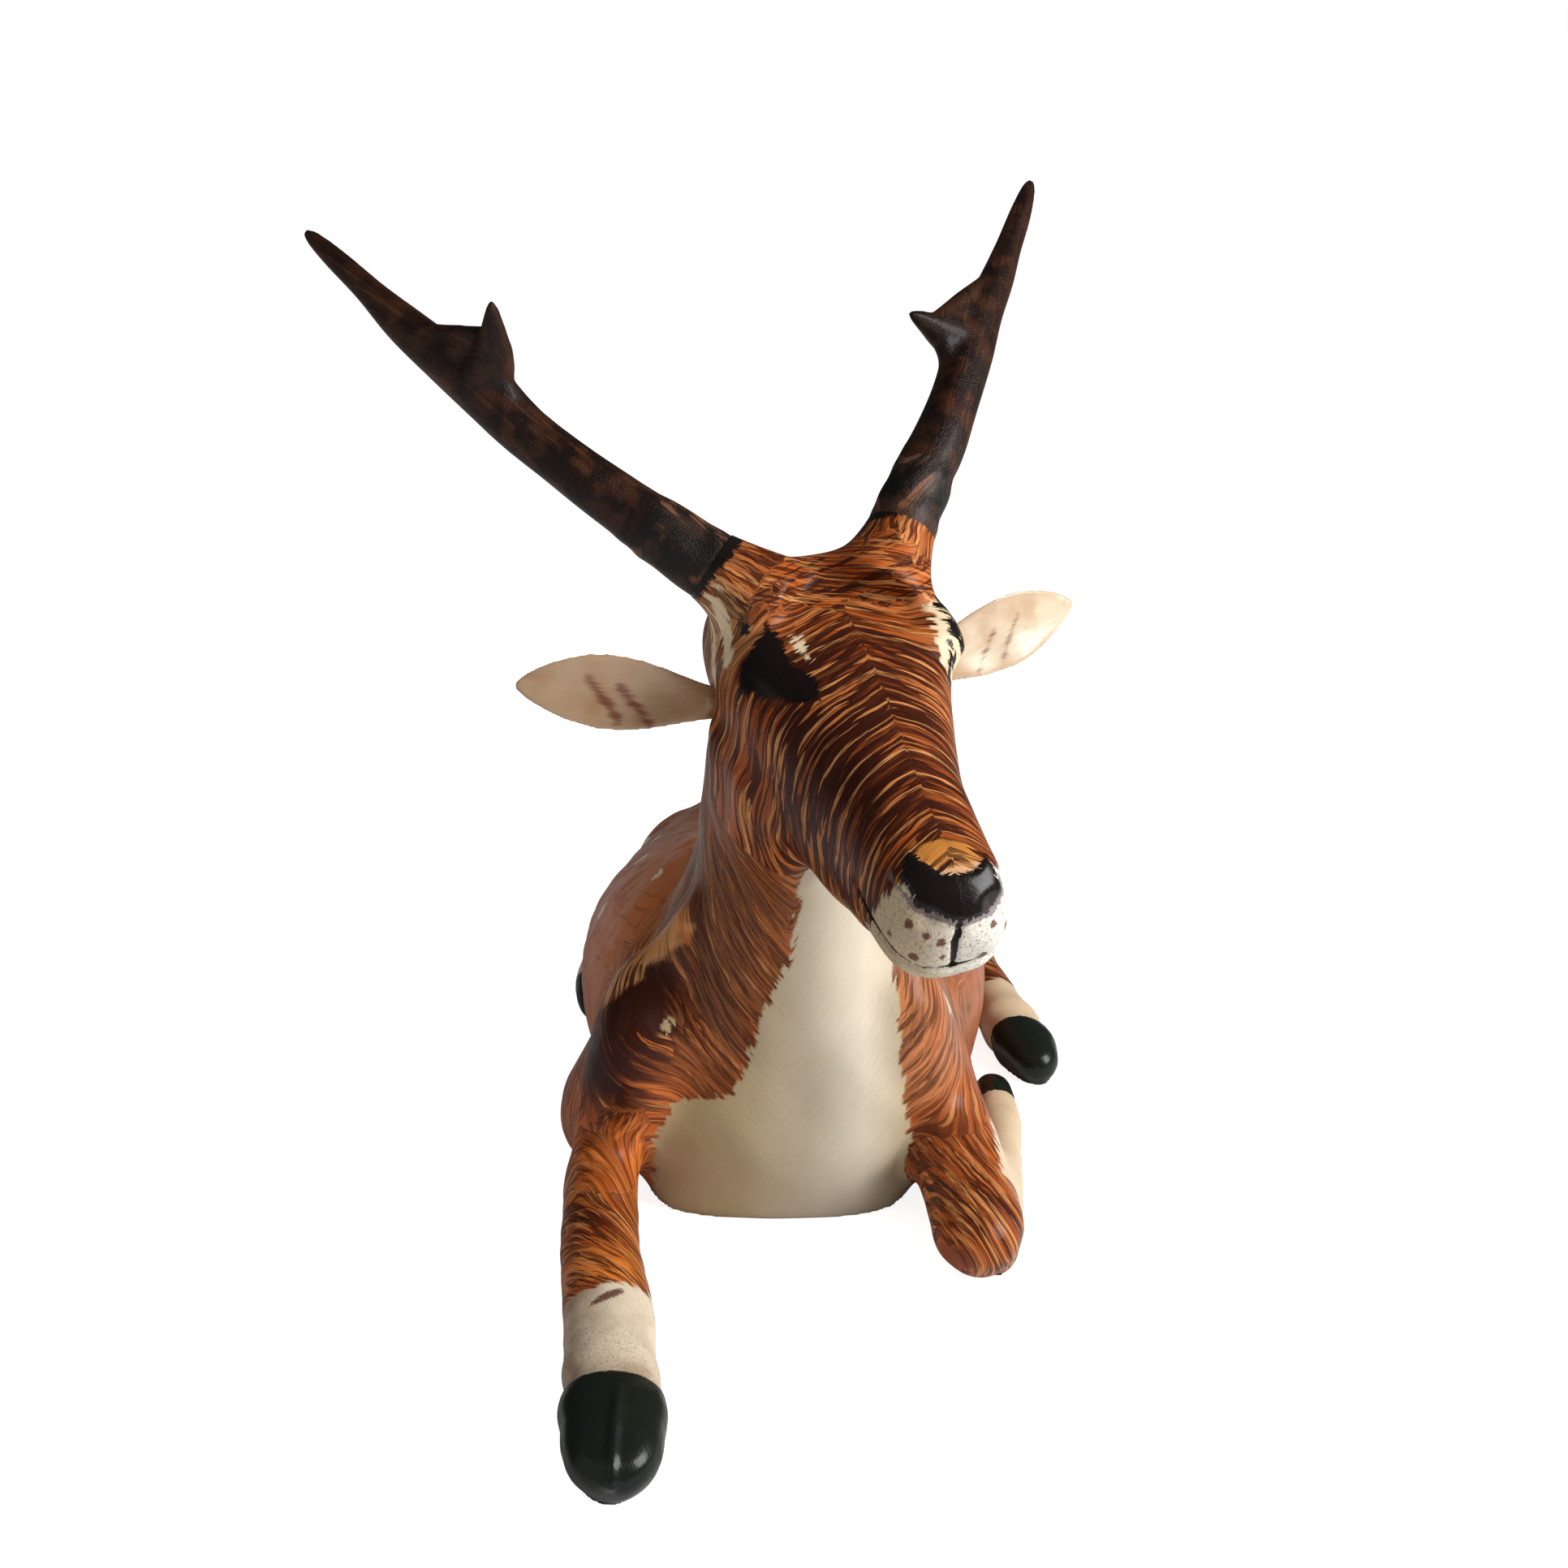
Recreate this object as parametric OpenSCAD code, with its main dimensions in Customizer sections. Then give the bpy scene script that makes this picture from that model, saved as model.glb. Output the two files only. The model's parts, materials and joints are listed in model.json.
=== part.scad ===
// Reclining stag: a carved and painted wooden figure, built up from doweled blocks.
// Millimetres, +Z up. The stag faces -Y, and its own left side is +X.
// The origin is the middle of the flat underside that it rests on.
// Each block is carved to a loft: a list of stations along a spine, joined by smooth curves.

/* [Torso] */
// Half width of the barrel at its widest
torso_half_w = 45; // [42:1:48]
// Half height of the barrel at the withers
torso_half_h = 36; // [34:1:38]

/* [Head] */
// Turn of the head towards the stag's left, in degrees
head_yaw = 18; // [12:1:24]
// Nod of the head below level, in degrees
head_nod = 28; // [22:1:34]
// Tilt of the head, left side up, in degrees
head_tilt = 6; // [0:1:10]

/* [Antlers] */
// Thickness of the antlers, as a share of the carved size
antler_girth = 1; // [0.9:0.05:1.15]
// Radius of the peg that holds each antler
peg_r = 2; // [1.5:0.25:2.5]
// Depth of the peg in the head, and of the peg in the antler
peg_depth = 11; // [8:1:12]
// Length of the putty sleeve round each antler's root
sleeve_len = 12; // [9:1:14]

/* [Ears] */
// Radius of the tenon whittled on each ear
tenon_r = 1.3; // [1:0.1:1.6]
// Depth of each ear's socket
tenon_depth = 7; // [5:0.5:8]

/* [Dowels] */
// Radius of the neck dowels
neck_dowel_r = 3; // [2:0.5:4]
// Radius of the leg dowels
leg_dowel_r = 2; // [1.5:0.25:2.5]
// Radius of the tail's peg
tail_dowel_r = 1.5; // [1:0.25:2]

/* [Fits] */
// Radial clearance of a peg that pulls out
slip_fit = 0.05; // [0.03:0.01:0.1]
// Radial thickness of a glue line round a dowel
glue_line = 0.05; // [0.02:0.01:0.1]
// Gap under a part that lifts off its seat
seat_gap = 0.15; // [0.1:0.05:0.3]

/* [Hidden] */
$fn = 48;
far = 200;            // reach of the solids that trim others
fur = "sienna";
cream = "wheat";
horn = "#2a1812";
peg_wood = "burlywood";

// ---- Lofts -------------------------------------------------------------------------
// A station is [x, y, z, half width, half height above, half height below, flare].
// Flare widens the top of the section and narrows its bottom.

function unit(v) = v / norm(v);
function curve(a, b, c, d, t) =
    0.5 * (2 * b + (c - a) * t + (2 * a - 5 * b + 4 * c - d) * t * t
           + (3 * b - a - 3 * c + d) * t * t * t);
function along(s, u) =
    let (last = len(s) - 1, i = min(floor(u), last - 1), t = u - i)
    curve(s[max(i - 1, 0)], s[i], s[i + 1], s[min(i + 2, last)], t);
function rings(s, steps) = [for (k = [0 : (len(s) - 1) * steps]) along(s, k / steps)];
function place(s) = [s[0], s[1], s[2]];
function heading(r, i) = unit(place(r[min(i + 1, len(r) - 1)]) - place(r[max(i - 1, 0)]));
function rounded(v, e) = sign(v) * pow(abs(v), 2 / e);
function section(r, i, up, sides, e) =
    let (ahead = heading(r, i), side = unit(cross(ahead, up)), top = cross(side, ahead), s = r[i])
    [for (k = [0 : sides - 1])
        let (a = 360 * k / sides, v = rounded(sin(a), e))
        place(s) + side * s[3] * (1 + s[6] * v) * rounded(cos(a), e)
                 + top * (v > 0 ? s[4] : s[5]) * v];

module loft(stations, up = [0, 0, 1], steps = 3, sides = 24, e = 2) {
    r = rings(stations, steps);
    last = len(r) - 1;
    points = concat([place(r[0])], [for (i = [0 : last]) each section(r, i, up, sides, e)],
                    [place(r[last])]);
    tail_cap = [for (k = [0 : sides - 1]) [0, 1 + (k + 1) % sides, 1 + k]];
    nose_cap = [for (k = [0 : sides - 1])
        [len(points) - 1, 1 + last * sides + k, 1 + last * sides + (k + 1) % sides]];
    skin_a = [for (i = [0 : last - 1]) for (k = [0 : sides - 1])
        [1 + i * sides + k, 1 + i * sides + (k + 1) % sides, 1 + (i + 1) * sides + k]];
    skin_b = [for (i = [0 : last - 1]) for (k = [0 : sides - 1])
        [1 + i * sides + (k + 1) % sides, 1 + (i + 1) * sides + (k + 1) % sides,
         1 + (i + 1) * sides + k]];
    polyhedron(points, concat(tail_cap, nose_cap, skin_a, skin_b));
}

// Closes its children into one carved skin, at their own size
module carved() { resize([0, 0, 0]) union() children(); }

// Puts its children at a point, with their +Z along a direction
module aim(at, dir) {
    translate(at) rotate([0, acos(dir[2] / norm(dir)), atan2(dir[1], dir[0])]) children();
}

// Everything on the far side of a plane, in its direction
module beyond(at, dir) { aim(at, dir) translate([-far, -far, 0]) cube([2 * far, 2 * far, far]); }

module above_floor() { translate([-far, -far, 0]) cube([2 * far, 2 * far, far]); }

// ---- Head frame --------------------------------------------------------------------
// In the head's own frame the nose points along -Y and the top of the face is at z = 0.

head_at = [4, -89, 119];
module in_head() {
    translate(head_at) rotate([0, 0, head_yaw]) rotate([head_nod, 0, 0])
        rotate([0, -head_tilt, 0]) children();
}

// ---- Joint planes, seats and axes --------------------------------------------------

neck_seat = [0, -64, 56];
neck_seat_dir = [0, -0.4, 0.92];
head_seat = [6, -83, 92];
head_seat_dir = [0.03, -0.75, 0.66];
neck_axis = unit(head_seat - neck_seat);
foreleg_right_seat_y = -80;
foreleg_left_seat_y = -72;

antler_right_seat = [-11, -92, 119];
antler_right_dir = unit([-12.7, 1, 8.5]);
antler_left_seat = [18.2, -83, 123];
antler_left_dir = unit([6.2, 9.6, 13.6]);

ear_root = [16.4, -8.2, -18.4];
ear_dir = unit([25.5, 6.5, 2.6]);
function mirrored(p, s) = [s * p[0], p[1], p[2]];

// ---- Torso, neck and head ----------------------------------------------------------

torso_stations = [for (s = [
    [1, -88, 20, 0.10, 0.20], [1, -86, 20, 0.36, 0.46], [1, -80, 21, 0.56, 0.68],
    [0, -68, 24, 0.70, 0.88], [0, -50, 25, 0.84, 0.97], [0, -28, 24, 0.94, 0.91],
    [-0.5, -4, 21, 0.98, 0.81], [-1, 20, 17, 0.95, 0.80], [-1, 42, 16, 0.86, 0.76],
    [0, 62, 16, 0.72, 0.68], [0, 77, 16, 0.50, 0.50], [0, 84, 16, 0.28, 0.28],
    [0, 86, 16, 0.08, 0.08]])
    [s[0], s[1], s[2], s[3] * torso_half_w, s[4] * torso_half_h, s[4] * torso_half_h, -0.04]];

shoulder_right = [[-24, -77, 50, 4, 3, 5, 0], [-26, -78, 42, 11, 6, 12, 0],
    [-29, -76, 28, 14, 6.5, 14, 0], [-32, -68, 16, 13, 9, 14, 0], [-34, -58, 9, 9, 8.8, 12, 0],
    [-34, -53, 8, 3, 3, 3, 0]];
shoulder_left = [[20, -73, 50, 4, 3, 5, 0], [22, -74, 42, 11, 6, 12, 0],
    [24, -71, 29, 14, 8.5, 14, 0], [27, -62, 17, 12, 8.5, 14, 0], [27, -52, 12, 9, 8, 12, 0],
    [27, -47, 11, 3, 3, 3, 0]];
// The brisket fills the breast out down to the floor
brisket = [[-1, -56, -7, 26, 24, 27, 0], [-1, -56, 6, 27, 24, 27, 0], [-1, -57, 22, 26, 24, 27, 0],
    [-1, -59, 36, 20, 20, 24, 0], [-1, -60, 42, 8, 8, 10, 0]];
haunch = [[36, 12, 10, 3, 3, 3, 0], [35, 17, 13, 9, 10, 10, 0], [32, 30, 17, 13, 18, 17, 0],
    [30, 46, 19, 14, 21, 19, 0], [25, 62, 18, 13, 18, 18, 0], [19, 74, 16, 10, 12, 14, 0],
    [15, 80, 15, 4, 4, 4, 0]];

neck_stations = [
    [-1, -52, -8, 26, 26, 30, 0], [-1, -54, 8, 27, 27, 30, 0], [0, -58, 26, 27, 27, 29, 0],
    [0, -64, 44, 24, 24, 26, 0], [1, -70, 60, 19.5, 20, 22, 0], [2.5, -76, 76, 17, 17, 18.5, 0],
    [4, -81, 92, 16, 15.5, 17, 0], [5, -85, 104, 12, 12, 13, 0], [5, -86, 110, 6, 6, 7, 0]];

head_stations = [
    [0, 14, -16, 4, 4, 4, 0], [0, 11, -15.5, 11.5, 7.5, 9, 0], [0, 4, -14.5, 16, 10.5, 14, 0],
    [0, -7, -14, 17.6, 12.8, 18, 0.08], [0, -19, -14, 17, 13.6, 20, 0.14],
    [0, -31, -14.5, 13.9, 14, 20, 0.1], [0, -40, -14, 11.4, 13.5, 18, 0.04],
    [0, -47, -13, 10.1, 12.6, 14.6, 0], [0, -54, -12.2, 9.5, 11.7, 11.8, 0],
    [0, -61, -11.5, 9.1, 10.7, 9.8, 0], [0, -66.5, -11.5, 7.8, 8.4, 8.8, 0],
    [0, -69.8, -11.6, 4.4, 4.6, 5, 0]];

module torso_block() { loft(torso_stations, steps = 2, sides = 36); }
module neck_block() { loft(neck_stations, up = [0, 1, 0], steps = 2, sides = 28); }
module head_block() { in_head() loft(head_stations, steps = 3, sides = 32, e = 2.35); }

// The flared stump that an antler stands on
module pedicle(seat, dir) {
    aim(seat - 12 * dir, dir) cylinder(h = 12, r1 = 9, r2 = 5.6, $fn = 24);
}

module neck_dowel_hole(r) { aim(neck_seat - 20 * neck_axis, neck_axis) cylinder(h = 40, r = r); }
module head_dowel_hole(r) { aim(head_seat - 13 * neck_axis, neck_axis) cylinder(h = 26, r = r); }

module torso() {
    color(fur) difference() {
        carved() difference() {
            intersection() {
                union() {
                    torso_block();
                    neck_block();
                    loft(brisket, up = [0, 1, 0], steps = 2, sides = 24, e = 3.4);
                    loft(shoulder_right, up = [-1, 0, 0], steps = 2, sides = 16);
                    loft(shoulder_left, up = [1, 0, 0], steps = 2, sides = 16);
                    loft(haunch, steps = 2, sides = 20);
                    translate([5, 0, -4]) mirror([1, 0, 0]) loft(haunch, steps = 2, sides = 20);
                }
                above_floor();
            }
            beyond(neck_seat, neck_seat_dir);
            foreleg_right_carving();
            foreleg_left_carving();
            hind_leg_carving(left_hind_leg);
            hind_leg_carving(right_hind_leg);
            tail_carving();
        }
        neck_dowel_hole(neck_dowel_r + glue_line);
        foreleg_dowel_hole(foreleg_right_dowel_at, leg_dowel_r + glue_line);
        foreleg_dowel_hole(foreleg_left_dowel_at, leg_dowel_r + glue_line);
        hind_dowel_hole(1, leg_dowel_r + glue_line);
        hind_dowel_hole(-1, leg_dowel_r + glue_line);
        tail_dowel_hole(tail_dowel_r + glue_line);
    }
}

module neck() {
    color(fur) difference() {
        carved() difference() {
            intersection() {
                union() {
                    neck_block();
                    head_block();
                }
                beyond(neck_seat, neck_seat_dir);
            }
            beyond(head_seat, head_seat_dir);
        }
        neck_dowel_hole(neck_dowel_r + glue_line);
        head_dowel_hole(neck_dowel_r + glue_line);
    }
}

module head() {
    color(fur) difference() {
        carved() difference() {
            intersection() {
                union() {
                    neck_block();
                    head_block();
                    pedicle(antler_right_seat, antler_right_dir);
                    pedicle(antler_left_seat, antler_left_dir);
                }
                beyond(head_seat, head_seat_dir);
            }
            aim(antler_right_seat, antler_right_dir) cylinder(h = 20, r = 7);
            aim(antler_left_seat, antler_left_dir) cylinder(h = 20, r = 7);
        }
        head_dowel_hole(neck_dowel_r + glue_line);
        antler_socket(antler_right_seat, antler_right_dir);
        antler_socket(antler_left_seat, antler_left_dir);
        ear_socket(1);
        ear_socket(-1);
    }
}

module antler_socket(seat, dir) {
    aim(seat - peg_depth * dir, dir) cylinder(h = peg_depth + 5, r = peg_r + slip_fit);
}

module ear_socket(side) {
    in_head() aim(mirrored(ear_root, side), mirrored(ear_dir, side)) {
        cylinder(h = 12, r = 3.2);
        translate([0, 0, -tenon_depth]) cylinder(h = tenon_depth + 1, r = tenon_r + slip_fit);
    }
}

// ---- Legs --------------------------------------------------------------------------

foreleg_right_stations = [
    [-34.5, -62, 12, 8, 8, 11, 0], [-33.5, -76, 9.5, 7.2, 6.5, 10, 0],
    [-31.6, -92, 7.5, 6.8, 5.5, 8, 0], [-29.6, -106, 7, 6.8, 5.4, 8, 0],
    [-27.7, -117, 7, 7.2, 6, 8, 0], [-26.4, -126, 6.5, 7.2, 5.5, 8, 0],
    [-25.4, -133, 6, 6.8, 5, 8, 0], [-24.6, -138, 6, 7.5, 5.6, 8, 0],
    [-24, -145, 5.5, 7.7, 5, 8, 0], [-23.8, -151, 4.5, 6.4, 3.6, 6, 0],
    [-23.8, -154, 3.5, 2.8, 1.6, 4, 0]];
forearm_left_stations = [
    [27, -54, 18, 9, 10, 14, 0], [28.6, -68, 15.5, 8.6, 9.5, 13, 0], [31, -81, 12, 8.3, 8, 11, 0],
    [32.4, -92, 9.6, 8.1, 7.4, 10, 0], [32.8, -99.5, 8, 7.4, 6.4, 8, 0],
    [32.8, -104, 6.6, 4.6, 4, 5.4, 0], [32.8, -105.5, 6, 1.4, 1.4, 2, 0]];
cannon_left_stations = [
    [35, -99, 5, 4, 4, 6, 0], [37.6, -92, 5.2, 4.4, 4.4, 6, 0], [39.6, -80, 5, 4.4, 4.2, 6, 0],
    [41, -66, 5, 4.2, 4, 6, 0], [41.8, -56, 5, 4.8, 4.4, 6, 0], [42.2, -49, 4.8, 4.5, 4.2, 6, 0],
    [42.4, -44, 4.6, 4.8, 4.4, 6, 0], [42.6, -38, 4, 3.8, 3.4, 5, 0],
    [42.6, -35.5, 3.4, 1.4, 1.2, 3, 0]];
left_hind_leg = [
    [39, 34, 9, 6, 7, 9, 0], [43, 20, 8.5, 6, 6.5, 9, 0], [46, 6, 7.5, 5.4, 5.5, 8, 0],
    [48.6, -8, 6.8, 5.6, 5.2, 8, 0], [50.6, -17, 6, 6.4, 5.4, 8, 0], [52.6, -24, 5.2, 6.4, 5, 8, 0],
    [54.2, -30, 4, 4.8, 3.8, 6, 0], [54.8, -32.5, 3.2, 1.8, 1.6, 3.6, 0]];
right_hind_leg = [
    [-38, 62, 9, 6, 7, 9, 0], [-40, 48, 8, 5.8, 6, 9, 0], [-41.5, 34, 7, 5.2, 5.2, 8, 0],
    [-42.5, 22, 6.4, 5.4, 5, 8, 0], [-43, 14, 5.8, 6, 5, 8, 0], [-43, 7, 5, 6, 4.8, 8, 0],
    [-42.6, 1, 4, 4.6, 3.8, 6, 0], [-42.4, -1.5, 3.2, 1.8, 1.6, 3.6, 0]];

foreleg_right_dowel_at = [-32.6, foreleg_right_seat_y, 7];
foreleg_left_dowel_at = [29.2, foreleg_left_seat_y, 12];
hind_dowel_at = [34, 24, 9];

module foreleg_right_carving() {
    intersection() {
        loft(foreleg_right_stations, steps = 3, sides = 20);
        above_floor();
        beyond([0, foreleg_right_seat_y, 0], [0, -1, 0]);
    }
}

module foreleg_left_carving() {
    intersection() {
        union() {
            intersection() {
                loft(forearm_left_stations, steps = 3, sides = 20);
                beyond([0, foreleg_left_seat_y, 0], [0, -1, 0]);
            }
            loft(cannon_left_stations, steps = 2, sides = 16);
        }
        above_floor();
    }
}

module hind_leg_carving(stations) {
    intersection() {
        loft(stations, steps = 2, sides = 16);
        above_floor();
    }
}

module foreleg_dowel_hole(at, r) {
    translate(at + [0, 12, 0]) rotate([90, 0, 0]) cylinder(h = 24, r = r);
}

module hind_dowel_hole(side, r) {
    y = side > 0 ? hind_dowel_at[1] : hind_dowel_at[1] + 28;
    translate([side * (hind_dowel_at[0] - 11), y, hind_dowel_at[2]]) rotate([0, side * 90, 0])
        cylinder(h = 18, r = r);
}

module foreleg_right() {
    color(fur) difference() {
        carved() foreleg_right_carving();
        foreleg_dowel_hole(foreleg_right_dowel_at, leg_dowel_r + glue_line);
    }
}

module foreleg_left() {
    color(fur) difference() {
        carved() foreleg_left_carving();
        foreleg_dowel_hole(foreleg_left_dowel_at, leg_dowel_r + glue_line);
    }
}

module hind_leg(stations, side) {
    color(fur) difference() {
        carved() hind_leg_carving(stations);
        hind_dowel_hole(side, leg_dowel_r + glue_line);
    }
}

// ---- Tail --------------------------------------------------------------------------

tail_root = [0, 84, 24];
tail_stations = [[0, 80, 27, 3, 2.4, 2.4, 0], [0, 86, 24, 4.2, 2.8, 2.8, 0],
    [0, 90.5, 17.5, 4.4, 2.6, 2.6, 0], [0, 92, 10.5, 3.4, 2, 2, 0], [0, 91.5, 6.5, 1, 0.8, 0.8, 0]];

module tail_carving() {
    intersection() {
        loft(tail_stations, up = [0, 1, 0.2], steps = 3, sides = 14);
        beyond([0, 83, 22], [0, 1, 0.3]);
    }
}

module tail_dowel_hole(r) {
    translate([0, 72, tail_root[2] - 2]) rotate([-90, 0, 0]) cylinder(h = 15, r = r);
}

module tail() {
    color(cream) difference() {
        carved() tail_carving();
        tail_dowel_hole(tail_dowel_r + glue_line);
    }
}

// ---- Antlers -----------------------------------------------------------------------

root_r = 3.9;         // the straight root that the putty sleeve wraps

// A beam or tine station is [x, y, z, radius], grown by the antler's girth
function beam(points) = [for (p = points)
    let (r = p[3] * antler_girth) [p[0], p[1], p[2], r, r, r, 0]];

antler_right_root = antler_right_seat + sleeve_len * antler_right_dir;
antler_left_root = antler_left_seat + sleeve_len * antler_left_dir;
antler_right_beam = concat([concat(antler_right_root, [4.7])], [
    [-30, -90, 132, 4.2], [-38.8, -88, 138.6, 4], [-45.8, -85.6, 145, 4.4],
    [-53, -83, 150.4, 3.6], [-59.8, -80, 155.8, 2.8], [-66.8, -76.5, 162, 2],
    [-72.4, -73, 166.5, 1.2], [-74, -72, 167.7, 0.6]]);
antler_right_tine = [[-46.6, -85.5, 144.6, 4.4], [-43.4, -88.4, 148.4, 3.8],
    [-42.2, -92, 152.6, 2.2], [-41.6, -95.2, 156.2, 1], [-41.4, -96, 157.2, 0.5]];
antler_left_beam = concat([concat(antler_left_root, [4.9])], [
    [25, -73, 136.6, 4.6], [27.6, -68, 142, 4.2], [30, -62, 148.2, 4.2],
    [32.6, -55.4, 154.6, 3.9], [36, -49, 160.8, 3], [39.2, -42, 167.6, 2.4],
    [42.8, -33.4, 175.6, 1.7], [44, -30.4, 178.4, 0.9]]);
antler_left_tine = [[30.6, -58.6, 151.2, 4.2], [26.8, -61.8, 152.4, 3.4],
    [23.4, -64.8, 154.2, 2.1], [20.8, -67.2, 155.4, 1], [20, -68, 155.8, 0.5]];

module antler(seat, dir, beam_points, tine_points) {
    color(horn) difference() {
        carved() {
            loft(beam(beam_points), up = [0, 1, 0.1], steps = 3, sides = 14);
            loft(beam(tine_points), up = [1, 0, 0.1], steps = 2, sides = 10);
            aim(seat + seat_gap * dir, dir) cylinder(h = sleeve_len + 2, r = root_r);
        }
        aim(seat, dir) translate([0, 0, -1]) cylinder(h = peg_depth + 1, r = peg_r + glue_line);
    }
}

module antler_peg(seat, dir) {
    color(peg_wood) aim(seat - (peg_depth - 0.5) * dir, dir)
        cylinder(h = 2 * peg_depth - 1, r = peg_r);
}

module antler_sleeve(seat, dir) {
    color(horn) aim(seat + seat_gap * dir, dir) difference() {
        cylinder(h = sleeve_len - 0.9, r1 = 5.6, r2 = 5);
        translate([0, 0, -1]) cylinder(h = sleeve_len + 2, r = root_r + glue_line);
    }
}

// ---- Ears --------------------------------------------------------------------------

ear_len = 31;
// Blade stations, [share of the length, half width, drift across the blade]
ear_blade = [[0.01, 2.6, 0], [0.14, 3.6, 0.1], [0.38, 5.6, 0.4], [0.6, 6, 0.6], [0.8, 4.4, 0.4],
    [0.94, 2.2, 0.1], [1, 0.5, 0]];

module ear(side) {
    stations = [for (b = ear_blade)
        let (p = ear_root + b[0] * ear_len * ear_dir + [0, 0, b[2]])
        [p[0], p[1], p[2], b[1], 0.9 - 0.3 * b[0], 0.9 - 0.3 * b[0], 0]];
    color(cream) in_head() mirror([side > 0 ? 0 : 1, 0, 0]) {
        translate(seat_gap * ear_dir) loft(stations, up = [0, -0.85, 0.53], steps = 3, sides = 16);
        aim(ear_root - (tenon_depth - 0.5) * ear_dir, ear_dir)
            cylinder(h = tenon_depth + 1, r = tenon_r);
    }
}

// ---- Dowels ------------------------------------------------------------------------

module neck_dowel() { color(peg_wood) neck_dowel_hole(neck_dowel_r); }
module head_dowel() { color(peg_wood) head_dowel_hole(neck_dowel_r); }
module foreleg_dowel(at) { color(peg_wood) foreleg_dowel_hole(at, leg_dowel_r); }
module hind_leg_dowel(side) { color(peg_wood) hind_dowel_hole(side, leg_dowel_r); }
module tail_dowel() { color(peg_wood) tail_dowel_hole(tail_dowel_r); }

torso();
neck();
head();
foreleg_right();
foreleg_left();
hind_leg(right_hind_leg, -1);  // hind_leg_right
hind_leg(left_hind_leg, 1);  // hind_leg_left
tail();
antler(antler_right_seat, antler_right_dir, antler_right_beam, antler_right_tine);  // antler_right
antler(antler_left_seat, antler_left_dir, antler_left_beam, antler_left_tine);  // antler_left
antler_peg(antler_right_seat, antler_right_dir);  // antler_peg_right
antler_peg(antler_left_seat, antler_left_dir);  // antler_peg_left
antler_sleeve(antler_right_seat, antler_right_dir);  // antler_sleeve_right
antler_sleeve(antler_left_seat, antler_left_dir);  // antler_sleeve_left
ear(-1);  // ear_right
ear(1);  // ear_left
neck_dowel();
head_dowel();
foreleg_dowel(foreleg_right_dowel_at);  // foreleg_dowel_right
foreleg_dowel(foreleg_left_dowel_at);  // foreleg_dowel_left
hind_leg_dowel(-1);  // hind_leg_dowel_right
hind_leg_dowel(1);  // hind_leg_dowel_left
tail_dowel();
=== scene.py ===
"""A reclining stag, carved in wood, painted with a fine brush and varnished.

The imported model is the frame. The wooden blocks are carved here from the frame's own
solids: they are closed into one skin, softened, sculpted and cut apart again at the glue
joints, so that neighbours meet without a step. The coat of paint is made of shader nodes
that read a few attributes worked out from each point's place on the animal.

Sizes inside the classes are millimetres; Blender's meshes are in metres.
"""
from __future__ import annotations

import json
import logging
import math
from dataclasses import dataclass, field
from enum import Enum

import bmesh
import bpy
import numpy as np
from mathutils import Matrix, Vector


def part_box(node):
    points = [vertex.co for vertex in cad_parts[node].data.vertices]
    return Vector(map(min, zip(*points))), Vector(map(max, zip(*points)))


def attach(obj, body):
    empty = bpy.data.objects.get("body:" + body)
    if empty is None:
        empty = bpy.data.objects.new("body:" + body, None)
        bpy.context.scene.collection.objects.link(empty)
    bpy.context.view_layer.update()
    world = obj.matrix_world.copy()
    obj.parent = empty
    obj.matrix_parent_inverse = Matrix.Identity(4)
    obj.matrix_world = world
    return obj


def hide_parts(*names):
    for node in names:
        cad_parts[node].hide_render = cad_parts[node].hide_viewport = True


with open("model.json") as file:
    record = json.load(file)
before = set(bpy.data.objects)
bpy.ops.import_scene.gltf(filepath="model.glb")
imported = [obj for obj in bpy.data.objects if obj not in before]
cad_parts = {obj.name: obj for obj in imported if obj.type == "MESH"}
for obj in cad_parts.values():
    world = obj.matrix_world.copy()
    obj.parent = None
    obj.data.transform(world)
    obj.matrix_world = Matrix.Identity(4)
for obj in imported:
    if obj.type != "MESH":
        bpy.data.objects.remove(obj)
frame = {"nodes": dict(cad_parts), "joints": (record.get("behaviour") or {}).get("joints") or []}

MM = 0.001
# Further than any point of the figure
BEYOND = 400.0
# What lies lower than this rests on the ground
GROUND = 0.05
# The distance that stands for "no paint here" in the marks
NOWHERE = -9.0
# How many plain waves make up one field of lumps
WAVES = 14
# The share, the two colours and the result of a colour mix; their names aren't unique
MIX_INPUTS, MIX_RESULT = (0, 6, 7), 2
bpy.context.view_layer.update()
log = logging.getLogger("stag")


class Side(Enum):
    """The stag's own sides, as the sign of X."""

    LEFT = 1
    RIGHT = -1

    @property
    def word(self) -> str:
        """The side's name as the frame's nodes spell it."""
        return self.name.lower()


class Cut(Enum):
    """What a boolean keeps."""

    WITHOUT = "DIFFERENCE"
    WITHIN = "INTERSECT"
    TOGETHER = "UNION"


# ---- Small tools for points ---------------------------------------------------------


def smooth(low: float, high: float, value: np.ndarray) -> np.ndarray:
    """A soft step.

    Args:
        low: where the step starts; it may lie above high, and the step then falls.
        high: where it ends.
        value: what is tested.

    Returns:
        0 before low, 1 past high, and a smooth turn between.
    """
    t = np.clip((value - low) / (high - low), 0, 1)
    return t * t * (3 - 2 * t)


def blob(points: np.ndarray, centre: tuple, radii: tuple) -> np.ndarray:
    """A soft ball of influence, 1 at its centre.

    Args:
        points: places, one per row.
        centre: the ball's middle.
        radii: how far it reaches along each axis.

    Returns:
        One weight per point.
    """
    return np.exp(-(((points - np.array(centre)) / np.array(radii)) ** 2).sum(1))


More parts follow.
